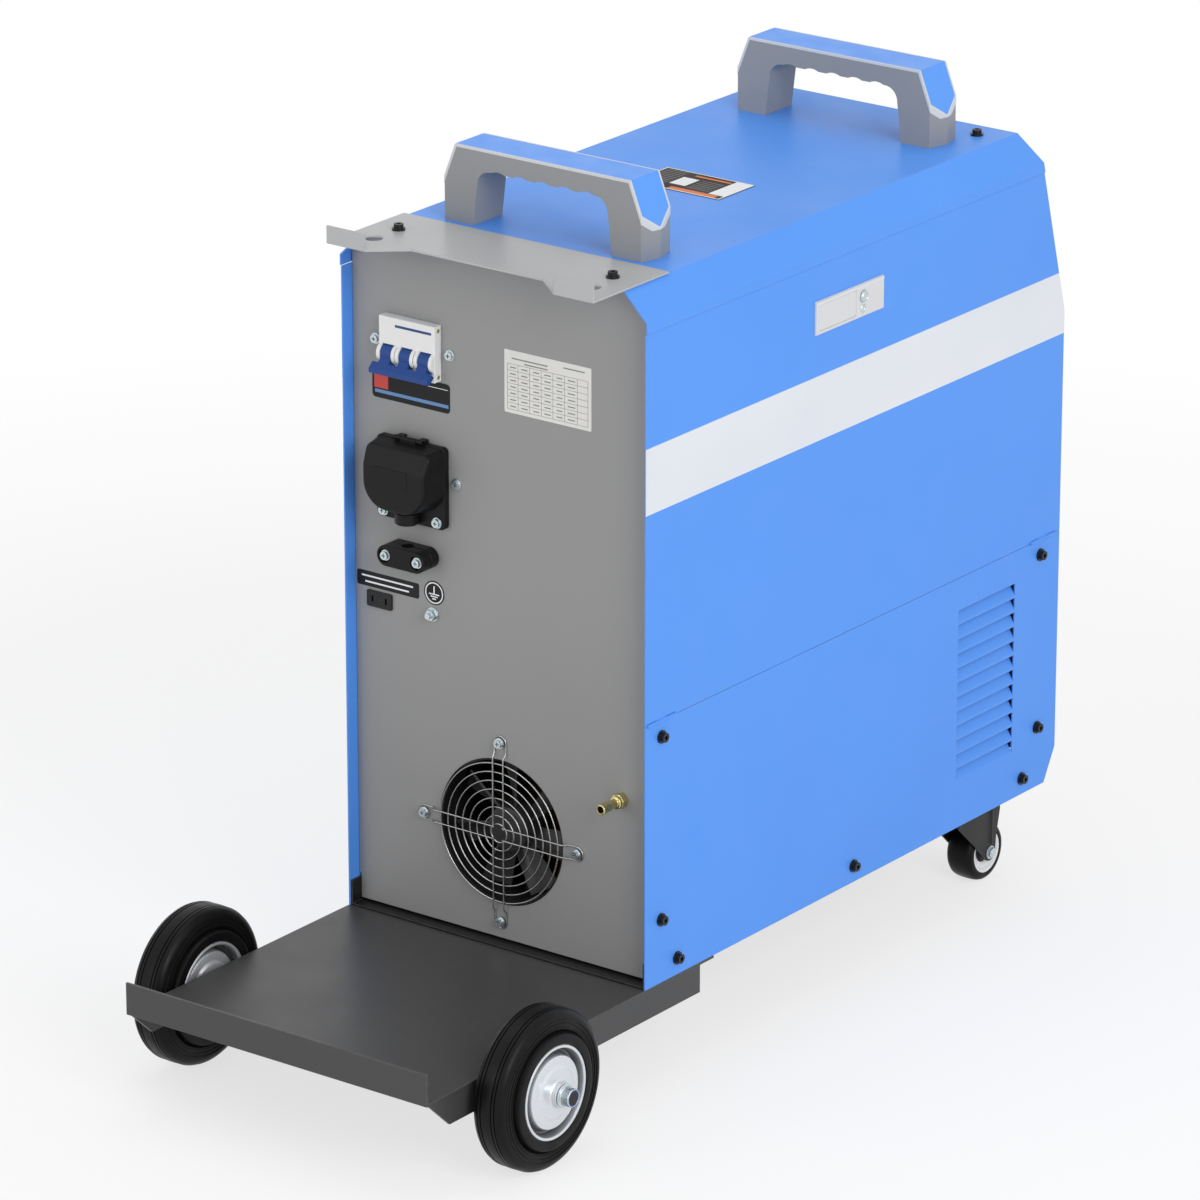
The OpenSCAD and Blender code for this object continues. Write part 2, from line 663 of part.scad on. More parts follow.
module label_plates() {
    color("#d9d9d6") rear_label(rating_at[0], rating_at[1], rating, 0.8);
    color(BLACK) rear_label(breaker_x + 2.3, breaker_h - breaker_label_drop, breaker_label, 3);
    color(BLACK) rear_label(heater_x - 7.8, heater_h + heater_label_rise, heater_label, 1.6);
    color(BLACK) translate([earth_x - 1.2, rear_face, hz(earth_h + earth_label_rise)]) rotate([-90, 0, 0])
        cylinder(r = earth_label_r, h = label_t);
    color("#3b3a39") translate([-1.5, fy(roof_label_d), hz(roof_h)]) linear_extrude(label_t)
        round_rect(roof_label[0], roof_label[1], 1.5);
}

module panel_screws() color(ZINC) {
    for (s = [-1, 1]) rear_screw(breaker_x + s * breaker_screw_x, breaker_h, 0, 6);
    for (t = terminal_screws) rear_screw(t[0], t[1], t[2], 6 + t[2]);
    for (s = [-1, 1]) rear_screw(box_x + s * clamp_pitch / 2, clamp_h, clamp_t - 2.5, clamp_t + 3);
    for (a = [0:90:270]) rear_screw(fan_x + fan_pcd_r * cos(a), fan_h + fan_pcd_r * sin(a), 2 * guard_wire,
        10);
    // Earth bolt with its nut and washer
    translate([earth_x, rear_face, hz(earth_h)]) rotate([-90, 0, 0]) {
        cylinder(r = 5.6, h = 1.2);
        cylinder(r = 4.6, h = 5, $fn = 6);
        cylinder(r = 2.4, h = 8);
        translate([0, 0, -9]) cylinder(r = 2.4, h = 9.1);
    }
}

box_plate = 6;
box_top = box_h + box_w;
lid_half = 28;
lid_mid = box_h + 32;
lid_top = box_top - 1.5;
lid_wall = 2;
lid_back = rear_face + box_plate + eps;
lid_face = rear_face + box_depth;
lid_bevel_h = 11;
lid_bevel_d = 5;
lid_axis_y = lid_back + 1.2;
lid_axis_h = box_top + 1.6;
lid_barrel_r = 2.6;
lid_pin_r = 1;
lid_knuckle = 14.4;
base_knuckle = 8;
spout_r = 10;

module terminal_base() color(BLACK) {
    difference() {
        union() {
            translate([box_x, rear_face, hz(box_h + box_w / 2)]) rotate([-90, 0, 0])
                linear_extrude(box_plate) round_rect(box_w, box_w, 4);
            rod_z([box_x, rear_face + spout_r, hz(box_h - 7)], spout_r, 10.5);
            for (s = [-1, 1]) translate([box_x + s * (lid_knuckle / 2 + base_knuckle / 2 + eps), 0, 0]) {
                rod_x([-base_knuckle / 2, lid_axis_y, hz(lid_axis_h)], lid_barrel_r, base_knuckle);
                block([-base_knuckle / 2, rear_face, hz(box_top - 1)],
                    [base_knuckle / 2, lid_axis_y, hz(lid_axis_h + 1)]);
            }
            block([box_x - 20, rear_face, hz(lid_mid - 9)], [box_x + 20, rear_face + 12, hz(lid_mid + 7)]);
        }
        // Room for the lid's knuckle
        rod_x([box_x - lid_knuckle / 2 - eps, lid_axis_y, hz(lid_axis_h)], lid_barrel_r + eps,
            lid_knuckle + 2 * eps);
        rod_z([box_x, rear_face + spout_r, hz(box_h - 8)], 6, 12);
        for (t = terminal_screws) rod_y([t[0], rear_face - plate - 1, hz(t[1])], 2.2,
            box_plate + plate + 2);
        rod_y([box_x, rear_face - 1, hz(box_h + 44)], 6, box_plate + 2);
    }
    for (i = [-1.5:1.5]) rod_y([box_x + i * 10, rear_face + 11.9, hz(lid_mid - 1)], 2, 2.6);
    rod_x([box_x - lid_knuckle / 2 - base_knuckle, lid_axis_y, hz(lid_axis_h)], lid_pin_r,
        lid_knuckle + 2 * base_knuckle);
}

// Outline of the lid, drawn in by t
module lid_outline(t) {
    translate([box_x, hz(lid_mid)]) circle(lid_half - t);
    translate([box_x - lid_half + t, hz(lid_mid)]) square([2 * (lid_half - t), lid_top - lid_mid - t]);
}
// Shield shape with a bevel along the top of its face, drawn in by t
module lid_shell(t, back) {
    intersection() {
        xz(back, lid_face - t - back) lid_outline(t);
        yz(box_x - box_w, 2 * box_w) polygon([[back, hz(box_h - 10)], [lid_face - t, hz(box_h - 10)],
            [lid_face - t, hz(lid_top - lid_bevel_h - t / 2)],
            [lid_face - lid_bevel_d - t / 2, hz(lid_top - t)],
            [back, hz(lid_top - t)]]);
    }
}

module terminal_lid() color(BLACK) difference() {
    union() {
        lid_shell(0, lid_back);
        rod_x([box_x - lid_knuckle / 2, lid_axis_y, hz(lid_axis_h)], lid_barrel_r, lid_knuckle);
        block([box_x - lid_knuckle / 2, lid_back, hz(lid_top - 1)],
              [box_x + lid_knuckle / 2, lid_axis_y + lid_barrel_r, hz(lid_axis_h)]);
    }
    lid_shell(lid_wall, rear_face);
    rod_x([box_x - 20, lid_axis_y, hz(lid_axis_h)], lid_pin_r + run_gap, 40);
    // Cable notch over the spout
    translate([box_x - 7, rear_face, hz(box_h - 2)]) cube([14, spout_r + 7, 8]);
}

clamp_t = 20;
clamp_gap = 0.5;
clamp_long = 46;
clamp_tall = 17;

module cable_clamp() color(BLACK) difference() {
    translate([box_x, rear_face, hz(clamp_h)]) rotate([-90, 0, 0]) linear_extrude(clamp_t) {
        square([clamp_long - clamp_tall, clamp_tall], center = true);
        for (s = [-1, 1]) translate([s * (clamp_long - clamp_tall) / 2, 0]) circle(clamp_tall / 2);
    }
    translate([box_x, rear_face + clamp_t / 2, hz(clamp_h)])
        cube([clamp_long + 2, clamp_gap, clamp_tall + 2], center = true);
    rod_z([box_x, rear_face + clamp_t / 2, hz(clamp_h - clamp_tall)], clamp_bore_r, 2 * clamp_tall);
    for (s = [-1, 1]) {
        rod_y([box_x + s * clamp_pitch / 2, rear_face - 1, hz(clamp_h)], 2.1, clamp_t + 2);
        rod_y([box_x + s * clamp_pitch / 2, rear_face + clamp_t - 2.5, hz(clamp_h)], 5, 4);
    }
}

module heater_socket() color(BLACK) translate([heater_x, rear_face, hz(heater_h)]) difference() {
    union() {
        rotate([-90, 0, 0]) linear_extrude(1.8) round_rect(24.2, 13, 1.2);
        block([-10, -13, -4.5], [10, 0.1, 4.5]);
    }
    for (s = [-1, 1]) block([s * 6.6 - 0.9, -9, -2.6], [s * 6.6 + 0.9, 3, 2.6]);
}

guard_wire = 0.8;
guard_y = rear_face + 6.4;
guard_rings = [7.6, 14.3, 21.4, 28.5, 35.7, 42.8, 50, 57];
guard_arm = 66 * fan_side / 120;
guard_pair = 5;

module ring_y(r, w) { rotate([90, 0, 0]) rotate_extrude($fn = 96) translate([r, 0]) circle(w, $fn = 16); }

module fan_guard() color(ZINC) translate([fan_x, guard_y, hz(fan_h)]) {
    for (r = guard_rings) ring_y(r * fan_side / 120, guard_wire);
    for (a = [0:90:270]) rotate([0, a, 0]) for (s = [-1, 1]) {
        rod_z([s * guard_pair, -1.1, 0], guard_wire, guard_arm);
        rod_y([s * guard_pair, rear_face - guard_y + guard_wire, guard_arm], guard_wire,
            6.4 - 1.1 - guard_wire);
        rod_z([s * guard_pair, rear_face - guard_y + guard_wire, guard_arm], guard_wire,
            fan_pcd_r - guard_arm);
    }
    for (a = [0:90:270]) rotate([0, a, 0]) translate([0, rear_face - guard_y + guard_wire, fan_pcd_r])
        intersection() {
            ring_y(guard_pair, guard_wire);
            block([-10, -2, 0], [10, 2, 10]);
        }
}

fan_bore_r = fan_side / 2 - 2;
fan_hub_r = 19;
module fan_place() { translate([fan_x, rear_face - plate, hz(fan_h)]) rotate([90, 0, 0]) children(); }

module fan_frame() color("#2b2b2d") fan_place() {
    difference() {
        rotate([0, 0, 45]) linear_extrude(fan_depth) round_rect(fan_side, fan_side, 8);
        translate([0, 0, -1]) cylinder(r = fan_bore_r, h = fan_depth + 2, $fn = 96);
        for (a = [0:90:270]) rotate([0, 0, a]) translate([fan_pcd_r, 0, -1])
            cylinder(r = 2.2, h = fan_depth + 2);
    }
    // Motor carrier with its spokes and shaft at the inner end
    translate([0, 0, fan_depth - 5]) {
        cylinder(r = fan_hub_r, h = 5);
        for (a = [30:120:270]) rotate([0, 0, a]) translate([0, -3, 0]) cube([fan_bore_r + 1, 6, 4]);
    }
    translate([0, 0, 6]) cylinder(r = 2, h = fan_depth - 8);
}

module fan_impeller() color("#1b1b1c") fan_place() difference() {
    union() {
        translate([0, 0, 5]) cylinder(r = fan_hub_r, h = fan_depth - 12);
        intersection() {
            translate([0, 0, 6]) cylinder(r = fan_bore_r - 2.5, h = fan_depth - 14);
            for (i = [0:6]) rotate([0, 0, i * 360 / 7]) translate([10, 0, fan_depth / 2])
                rotate([38, 0, 0]) translate([0, -17, -0.9]) cube([fan_bore_r, 34, 1.8]);
        }
    }
    cylinder(r = 2 + run_gap, h = fan_depth);
}

gas_tail = 29;
gas_tail_r = 3;
module gas_inlet() color(BRASS) translate([gas_x, rear_face, hz(gas_h)]) rotate([-90, 0, 0]) difference() {
    union() {
        cylinder(r = 6.2, h = 6, $fn = 6);
        rotate_extrude() polygon([[0, 5], [gas_tail_r + 1.2, 5], [gas_tail_r + 1.2, 8], [gas_tail_r, 8],
            [gas_tail_r, 15.5], [gas_tail_r + 1, 15.5], [gas_tail_r, 19.5], [gas_tail_r + 1, 19.5],
            [gas_tail_r, 23.5], [gas_tail_r + 1, 23.5], [gas_tail_r - 0.6, gas_tail], [0, gas_tail]]);
        translate([0, 0, -10]) cylinder(r = 4, h = 11);
        translate([0, 0, -plate - 4.5]) cylinder(r = 6.6, h = 4.5, $fn = 6);
    }
    translate([0, 0, -11]) cylinder(r = 1.6, h = gas_tail + 12);
}

valve_d = recess + 10;
valve_len = 36;
hose_r = 4;
hose_bore = 2.5;
hose_bend = 22;

module gas_valve() color(STEEL) {
    case_box(gas_x - 13, gas_x + 13, valve_d, valve_d + valve_len, gas_h - 12, gas_h + 12);
    rod_z([gas_x, fy(valve_d + valve_len / 2), hz(gas_h + 11.9)], 12, 24);
    rod_y([gas_x, fy(valve_d + valve_len + 10), hz(gas_h)], hose_bore, 10.1);
}

// Runs forward under the shelf, up beside the front panel and across to the torch socket
module hose_run(r) {
    start = valve_d + valve_len + eps;
    top = torch_h - hose_bend;
    rod_y([gas_x, fy(hose_up_d - hose_bend), hz(gas_h)], r, hose_up_d - hose_bend - start);
    translate([gas_x, fy(hose_up_d - hose_bend), hz(gas_h + hose_bend)]) rotate([0, 90, 0])
        rotate([0, 0, -90]) rotate_extrude(angle = 90) translate([hose_bend, 0]) circle(r);
    rod_z([gas_x, fy(hose_up_d), hz(gas_h + hose_bend)], r, top - gas_h - hose_bend);
    translate([gas_x + hose_bend, fy(hose_up_d), hz(top)]) rotate([90, 0, 0])
        rotate([0, 0, 90]) rotate_extrude(angle = 90) translate([hose_bend, 0]) circle(r);
    rod_x([gas_x + hose_bend, fy(hose_up_d), hz(torch_h)], r,
        torch_x - torch_block - eps - gas_x - hose_bend);
}
module gas_hose() color(BLACK) difference() {
    hose_run(hose_r);
    hose_run(hose_bore + 0.05);
}

// ---------------------------------------------------------------- tray, wheels, casters

axle_z = wheel_d / 2;
axle_y = fy(-axle_back);
bead_x = half + wheel_gap;
wheel_x = bead_x + bead_w / 2;
hub_r = 10.3;
hub_out = bead_w / 2 + 7;
cap_r = 7.3;
cap_l = 9;
flange_cut = 27;        // slant at the rear end of the side flanges

module bottle_tray() color("#4a4b4d") difference() {
    union() {
        block([-half, fy(-tongue_end), deck_z - tray_t], [half, fy(-tray_reach), deck_z]);
        // Tongue that runs under the case, set down by the gap
        block([-half, fy(tray_tuck + 18), tongue_z - tray_t], [half, fy(-tongue_end) + 1, tongue_z]);
        block([-half, fy(-tray_reach) - tray_t, deck_z - tray_t],
            [half, fy(-tray_reach), deck_z + tray_lip]);
        both_sides() {
            yz(half - tray_t, tray_t) polygon([[fy(tray_tuck), tongue_z], [fy(-tongue_end), tongue_z],
                [fy(-tongue_end), deck_z], [fy(-tray_reach), deck_z],
                [fy(-tray_reach) - flange_cut, deck_z - tray_flange],
                [fy(tray_tuck), deck_z - tray_flange]]);
            // Axle plate welded inside each flange
            block([half - tray_t - 4, axle_y - 20, axle_z - axle_r - 4],
                [half - tray_t, axle_y + 20, deck_z]);
        }
    }
    rod_x([-half - 1, axle_y, axle_z], axle_r + 0.1, case_w + 2);
    for (p = tray_screws) rod_z([p[0], fy(p[1]), tongue_z - tray_t - 1], hole_r, tray_t + 2);
}

module axle() color(ZINC) {
    rod_x([-wheel_x - hub_out - 5.5, axle_y, axle_z], axle_r, 2 * (wheel_x + hub_out + 5.5));
    // Collars that keep the wheels off the tray
    for (x = [-half - wheel_gap + eps, half]) rod_x([x, axle_y, axle_z], axle_r + 4, wheel_gap - eps);
}

module axle_caps() color(ZINC) both_sides() difference() {
    union() {
        rod_x([wheel_x + hub_out + eps, axle_y, axle_z], cap_r, cap_l);
        rod_x([wheel_x + hub_out + eps, axle_y, axle_z], cap_r + 2.2, 1.5);
    }
    rod_x([wheel_x + hub_out, axle_y, axle_z], axle_r, 5.6);
}

// Profile of the tyre, radius and half width, from the bead outwards
bead_r = rim_r + 8;
tyre_r = wheel_d / 2;
module tyre_profile() {
    lip = bead_w / 2;
    wall = tread_w / 2;
    polygon(both_halves([
        [rim_r, lip], [bead_r - 1, lip], [bead_r, lip - 1], [bead_r + 1, wall - 2], [bead_r + 3, wall - 0.6],
        [bead_r + 7, wall], [tyre_r - 6, wall - 0.6], [tyre_r - 2.6, wall - 2.4], [tyre_r - 0.8, wall - 5],
        [tyre_r - 0.3, wall - 6], [tyre_r - 1.8, wall - 6.6],
        [tyre_r - 1.8, wall - 7.4], [tyre_r, wall - 8]]));
}
// The profile's +Y points away from the machine
module about_axle(side) {
    translate([side * wheel_x, axle_y, axle_z]) rotate([0, side * 90, 0]) rotate_extrude($fn = 96)
        children();
}

module tyre(side) color(BLACK) about_axle(side) tyre_profile();

// Pressed disc on each side of the rim, from the hub out to the lip, round a hollow
module rim(side) color(ZINC) about_axle(side) {
    lip = bead_w / 2;
    bore = axle_r + run_gap;
    difference() {
        polygon(both_halves([
            [bore, lip - 1.5], [20, lip - 2.4], [22, lip - 3.6], [27.5, lip - 4.2], [29.5, lip - 7],
            [30.5, lip - 9], [33, lip - 8.6], [34.5, lip - 6],
            [34.8, lip - 0.6], [35.4, lip], [rim_r, lip]]));
        polygon(both_halves([[axle_r + 3, lip - 4.4], [20, lip - 5.6], [26.5, lip - 6.2], [28.5, lip - 11],
            [rim_r - 2, lip - 10]]));
    }
    // Boss on the outer side
    polygon([[bore, lip - 3], [bore, hub_out], [hub_r - 1, hub_out], [hub_r, hub_out - 1],
        [hub_r, lip - 3]]);
}
module rim_left() { rim(-1); }
module rim_right() { rim(1); }
module tyre_left() { tyre(-1); }
module tyre_right() { tyre(1); }

caster_plate_t = 3;
caster_bolts = [for (x = [-24, 24], y = [-20, 20]) [x, y]];
kingpin_r = 5;
crown_top = deck_z - 13;
crown_t = 3;
fork_gap = 1;
fork_t = 2;
caster_axle_r = 3;

module caster_frame(side) { translate([side * caster_x, fy(caster_d_pos), 0]) children(); }

module caster_plates() color(BLACK) for (side = [-1, 1]) caster_frame(side) difference() {
    union() {
        block([-33, -29, deck_z - caster_plate_t], [33, 29, deck_z]);
        rod_z([0, 0, crown_top + eps], 15, deck_z - crown_top - eps - 0.5);
        rod_z([0, 0, crown_top - crown_t - 4], kingpin_r, 12);
        rod_z([0, 0, crown_top - crown_t - 4], kingpin_r + 3, 4 - eps);
    }
    for (p = caster_bolts) rod_z([p[0], p[1], deck_z - caster_plate_t - 1], hole_r, caster_plate_t + 2);
}

// The wheel's axle stands ahead of the swivel pin by the trail
module caster_fork(side) color(BLACK) caster_frame(side) difference() {
    reach = caster_w / 2 + fork_gap;
    union() {
        rod_z([0, 0, crown_top - crown_t], 17, crown_t);
        block([-reach - fork_t, -34, crown_top - crown_t], [reach + fork_t, 26, crown_top]);
        for (s = [-1, 1]) yz(s * (reach + fork_t / 2) - fork_t / 2, fork_t) {
            polygon([[26, crown_top], [26, crown_top - 8], [-trail + 8.4, caster_d / 2 - 7.2],
                     [-trail - 9.5, caster_d / 2 - 5.6], [-34, caster_d / 2 + 8], [-34, crown_top]]);
            translate([-trail, caster_d / 2]) circle(11);
        }
        // Axle bolt with its head and nut
        rod_x([-reach - fork_t - 3, -trail, caster_d / 2], caster_axle_r, 2 * (reach + fork_t + 3));
        for (s = [-1, 1]) rod_x([s * (reach + fork_t + 1.75) - 1.75, -trail, caster_d / 2], 5, 3.5,
            $fn = 6);
    }
    rod_z([0, 0, crown_top - crown_t - 1], kingpin_r + run_gap, crown_t + 2);
}

module caster_wheel(side) color(BLACK) caster_frame(side) translate([0, -trail, caster_d / 2])
    rotate([0, 90, 0])
    rotate_extrude($fn = 96) polygon(both_halves([
        [caster_axle_r + run_gap, caster_w / 2], [7, caster_w / 2], [8, caster_w / 2 - 5],
        [14.5, caster_w / 2 - 4], [16.5, caster_w / 2 - 1],
        [caster_d / 2 - 5, caster_w / 2 - 0.4], [caster_d / 2 - 2, caster_w / 2 - 2.2],
        [caster_d / 2 - 0.6, caster_w / 2 - 5], [caster_d / 2, caster_w / 2 - 9]]));
module caster_fork_left() { caster_fork(-1); }
module caster_fork_right() { caster_fork(1); }
module caster_wheel_left() { caster_wheel(-1); }
module caster_wheel_right() { caster_wheel(1); }

// ---------------------------------------------------------------- door and latch

door_bolt_d = latch_d + latch_len / 2;
bolt_w = 10;
bolt_x = -inner + eps;
bolt_t = 3;
bolt_throw = 6;
button_d = latch_d + 61.5;
latch_button_r = 6;
paddle_len = 47;
paddle_tall = 20.4;
paddle_t = 2;
paddle_x = -half - latch_proud + 0.1;       // outer face of the paddle
paddle_pin = [paddle_x + paddle_t / 2, fy(latch_d + 5.1)];
paddle_pin_r = 0.7;
body_depth = 12;
body_len = latch_len - 7;
body_tall = latch_tall - 4.4;

module side_door() color(BLUE) difference() {
    union() {
        yz(-half, skin) intersection() {
            polygon(side_outline);
            translate(at(case_len, seam_h + seam_gap / 2)) square([case_len, case_h]);
        }
        // Stiffening edge turned in along the top
        case_box(-half, -inner + 9, recess + flange_w + 3, front_top_d - flange_w, case_h - skin, case_h);
        for (s = hinge_starts) knuckle(s, 1, knuckle_r);
    }
    for (s = hinge_starts) {
        knuckle(s, 0, knuckle_r + eps, 0.2);
        knuckle(s, 2, knuckle_r + eps, 0.2);
        rod_y([hinge_point[0], fy(s + 3 * knuckle_l), hinge_point[1]], hinge_pin_r + run_gap,
            3 * knuckle_l);
    }
    case_box(-half - 1, -inner + 1, latch_d + 3, latch_d + latch_len - 3, latch_h - body_tall / 2 - 0.2,
        latch_h + body_tall / 2 + 0.2);
    case_box(bolt_x - 0.4, bolt_x + bolt_t + 0.4, door_bolt_d - bolt_w / 2 - 0.4,
        door_bolt_d + bolt_w / 2 + 0.4, case_h - 3, case_h + 1);
}

module latch_plate() color("#cfd0d0") difference() {
    union() {
        case_box(-half - latch_proud, -half, latch_d, latch_d + latch_len, latch_h - latch_tall / 2,
            latch_h + latch_tall / 2);
        case_box(-half - 0.1, -half + body_depth, latch_d + 3.5, latch_d + 3.5 + body_len,
            latch_h - body_tall / 2, latch_h + body_tall / 2);
    }
    // Pocket and pin holes of the paddle
    case_box(-half - latch_proud - 1, -half + 3, latch_d + 3.5, latch_d + 6 + paddle_len,
             latch_h - paddle_tall / 2 - eps, latch_h + paddle_tall / 2 + eps);
    rod_z([paddle_pin[0], paddle_pin[1], hz(latch_h - body_tall / 2)], paddle_pin_r + run_gap, body_tall);
    rod_x([-half - latch_proud - 1, fy(button_d), hz(latch_h - 1.3)], latch_button_r + run_gap, body_depth);
    // Guide of the bolt
    case_box(bolt_x - 0.4, bolt_x + bolt_t + 0.4, door_bolt_d - bolt_w / 2 - 0.4,
        door_bolt_d + bolt_w / 2 + 0.4,
             bolt_low - bolt_throw - 1, latch_h + latch_tall);
}

module latch_paddle() color("#d6d7d7") difference() {
    union() {
        case_box(paddle_x, paddle_x + paddle_t, latch_d + 5.1, latch_d + 5.1 + paddle_len,
                 latch_h - paddle_tall / 2, latch_h + paddle_tall / 2);
        rod_z([paddle_pin[0], paddle_pin[1], hz(latch_h - paddle_tall / 2)], paddle_t / 2, paddle_tall);
        rod_z([paddle_pin[0], paddle_pin[1], hz(latch_h - paddle_tall / 2 - 1)], paddle_pin_r,
            paddle_tall + 2);
    }
    // Finger scoop behind the free end
    case_box(paddle_x + 1.2, -half, latch_d + paddle_len - 4, latch_d + paddle_len + 6, latch_h - 7,
        latch_h + 7);
}

module latch_button() color(ZINC) difference() {
    rod_x([-half - latch_proud - 1.6, fy(button_d), hz(latch_h - 1.3)], latch_button_r, 7);
    // Key slot
    case_box(-half - latch_proud - 3, -half - latch_proud + 1, button_d - 0.7, button_d + 0.7,
        latch_h - 4.6, latch_h + 2);
}

bolt_low = latch_h + 6;
module latch_bolt() color(ZINC)
    case_box(bolt_x, bolt_x + bolt_t, door_bolt_d - bolt_w / 2, door_bolt_d + bolt_w / 2, bolt_low,
        case_h - 0.2);

// ---------------------------------------------------------------- wire feeder

drive_d = wall_front - 50;
drive_h = torch_h - wire_d / 2 - drive_r;
press_r = drive_r - 1;
press_h = torch_h + wire_d / 2 + press_r;
roll_w = 12;
roll_x = torch_x;
plate_x = roll_x + roll_w / 2 + 5.5;     // roll side of the feeder plate
drive_shaft_r = 4;
motor_neck_r = 12;
arm_pivot = [drive_d + 30, press_h + 14];  // depth and height of the arm's pivot
arm_pin_r = 3;
arm_half = roll_w / 2 + 2.8;             // half width over both cheeks of the arm
arm_end_d = drive_d - 46;                // free end of the arm
feed_rear_d = drive_d - 55;              // rear edge of the feeder plate

module feeder_plate() color(STEEL) {
    difference() {
        case_box(plate_x, bay_x, feed_rear_d, wall_front - 2, drive_h - 30, press_h + 34);
        rod_x([plate_x - 1, fy(drive_d), hz(drive_h)], drive_shaft_r + 0.5, bay_x - plate_x + 2);
        rod_x([plate_x + 3, fy(drive_d), hz(drive_h)], motor_neck_r + 0.3, bay_x - plate_x);
    }
    // Pivot pin of the arm, with its head
    rod_x([roll_x - arm_half - 2, fy(arm_pivot[0]), hz(arm_pivot[1])], arm_pin_r,
        plate_x - roll_x + arm_half + 2.5);
    rod_x([roll_x - arm_half - eps - 2.2, fy(arm_pivot[0]), hz(arm_pivot[1])], arm_pin_r + 2.5, 2.2);
    // Guide tubes before and after the rolls
    for (d = [[feed_rear_d, drive_d - 24], [drive_d + 23, wall_front - 2]]) {
        difference() {
            case_box(roll_x - 4, plate_x + 0.1, d[0], d[1], torch_h - 4, torch_h + 4);
            rod_y([roll_x, fy(d[1]) - 1, hz(torch_h)], 1.2, d[1] - d[0] + 2);
        }
    }
}

module feed_motor() color("#2f3032") {
    rod_x([wall_x, fy(drive_d), hz(drive_h)], 30, 12);
    rod_x([wall_x + 11, fy(drive_d), hz(drive_h)], 27, 62);
    rod_x([plate_x + 3.3, fy(drive_d), hz(drive_h)], motor_neck_r, wall_x - plate_x);
    rod_x([roll_x - roll_w / 2 - 2, fy(drive_d), hz(drive_h)], drive_shaft_r, plate_x - roll_x + roll_w);
}

module grooved_roll(r, bore, groove) {
    rotate([0, 90, 0]) rotate_extrude($fn = 64) polygon(concat(
        both_halves([[bore, roll_w / 2], [r - 0.5, roll_w / 2], [r, roll_w / 2 - 0.5], [r, groove],
            [r - groove, 0]])));
}
module drive_roll() color(ZINC) translate([roll_x, fy(drive_d), hz(drive_h)])
    grooved_roll(drive_r, drive_shaft_r + run_gap, wire_d / 2);
module pressure_roll() color(ZINC) translate([roll_x, fy(drive_d), hz(press_h)])
    grooved_roll(press_r, arm_pin_r + run_gap, 0.05);

arm_w = roll_w + 3;
module pressure_arm() color("#3a3b3d") {
    difference() {
        union() {
            for (s = [-1, 1]) yz(roll_x + s * (roll_w / 2 + 1.6) - 1.2, 2.4) {
                polygon([at(arm_pivot[0] - 6, arm_pivot[1] + 6),
                    at(arm_end_d, press_h + 24), at(arm_end_d, press_h + 14),
                    at(drive_d - 6, press_h - 6), at(drive_d + 6, press_h - 6),
                    at(arm_pivot[0] + 4, arm_pivot[1] - 6)]);
                translate(at(arm_pivot[0], arm_pivot[1])) circle(7);
            }
            case_box(roll_x - arm_half, roll_x + arm_half, arm_end_d, arm_end_d + 20, press_h + 17,
                press_h + 24);
        }
        rod_x([roll_x - 20, fy(arm_pivot[0]), hz(arm_pivot[1])], arm_pin_r + run_gap, 40);
    }
    rod_x([roll_x - arm_half, fy(drive_d), hz(press_h)], arm_pin_r, 2 * arm_half);
    // Tension knob on the free end
    rod_z([roll_x, fy(arm_end_d + 10), hz(press_h + 23.9)], 3, 10);
    rod_z([roll_x, fy(arm_end_d + 10), hz(press_h + 33)], 9, 22);
}

core_r = 52;
wire_r = 100;           // wire left on the spool
spool_bore_r = 25.75;
spool_x = bay_x - 3;
spool_flange = 4;

module spool_spindle() color("#2f3032") {
    rod_x([bay_x - 2.7, fy(spool_d), hz(spool_h)], 45, 2.7);
    rod_x([spool_x - spool_w - 2, fy(spool_d), hz(spool_h)], spool_bore_r - run_gap, spool_w + 3);
    rod_x([spool_x - spool_w - 6, fy(spool_d), hz(spool_h)], 32, 5.6);
}

module wire_spool() color("#26282b") difference() {
    union() {
        rod_x([spool_x - spool_w, fy(spool_d), hz(spool_h)], core_r, spool_w);
        for (x = [spool_x - spool_w, spool_x - spool_flange])
            rod_x([x, fy(spool_d), hz(spool_h)], spool_r, spool_flange);
    }
    rod_x([spool_x - spool_w - 1, fy(spool_d), hz(spool_h)], spool_bore_r, spool_w + 2);
    for (a = [0:60:300]) rod_x([spool_x - spool_w - 1, fy(spool_d) + 39 * cos(a),
        hz(spool_h) + 39 * sin(a)], 6, spool_w + 2);
}

module wire_pack() color(COPPER) difference() {
    rod_x([spool_x - spool_w + spool_flange, fy(spool_d), hz(spool_h)], wire_r, spool_w - 2 * spool_flange);
    rod_x([spool_x - spool_w, fy(spool_d), hz(spool_h)], core_r, spool_w);
}

// ---------------------------------------------------------------- power side

power_x = (wall_x + inner) / 2 - 9;      // middle of the power side
core = [70, 44, 84];                     // transformer core
coil = [56, 64, 56];                     // its winding
choke = [56, 52, 66];
choke_r = 24;

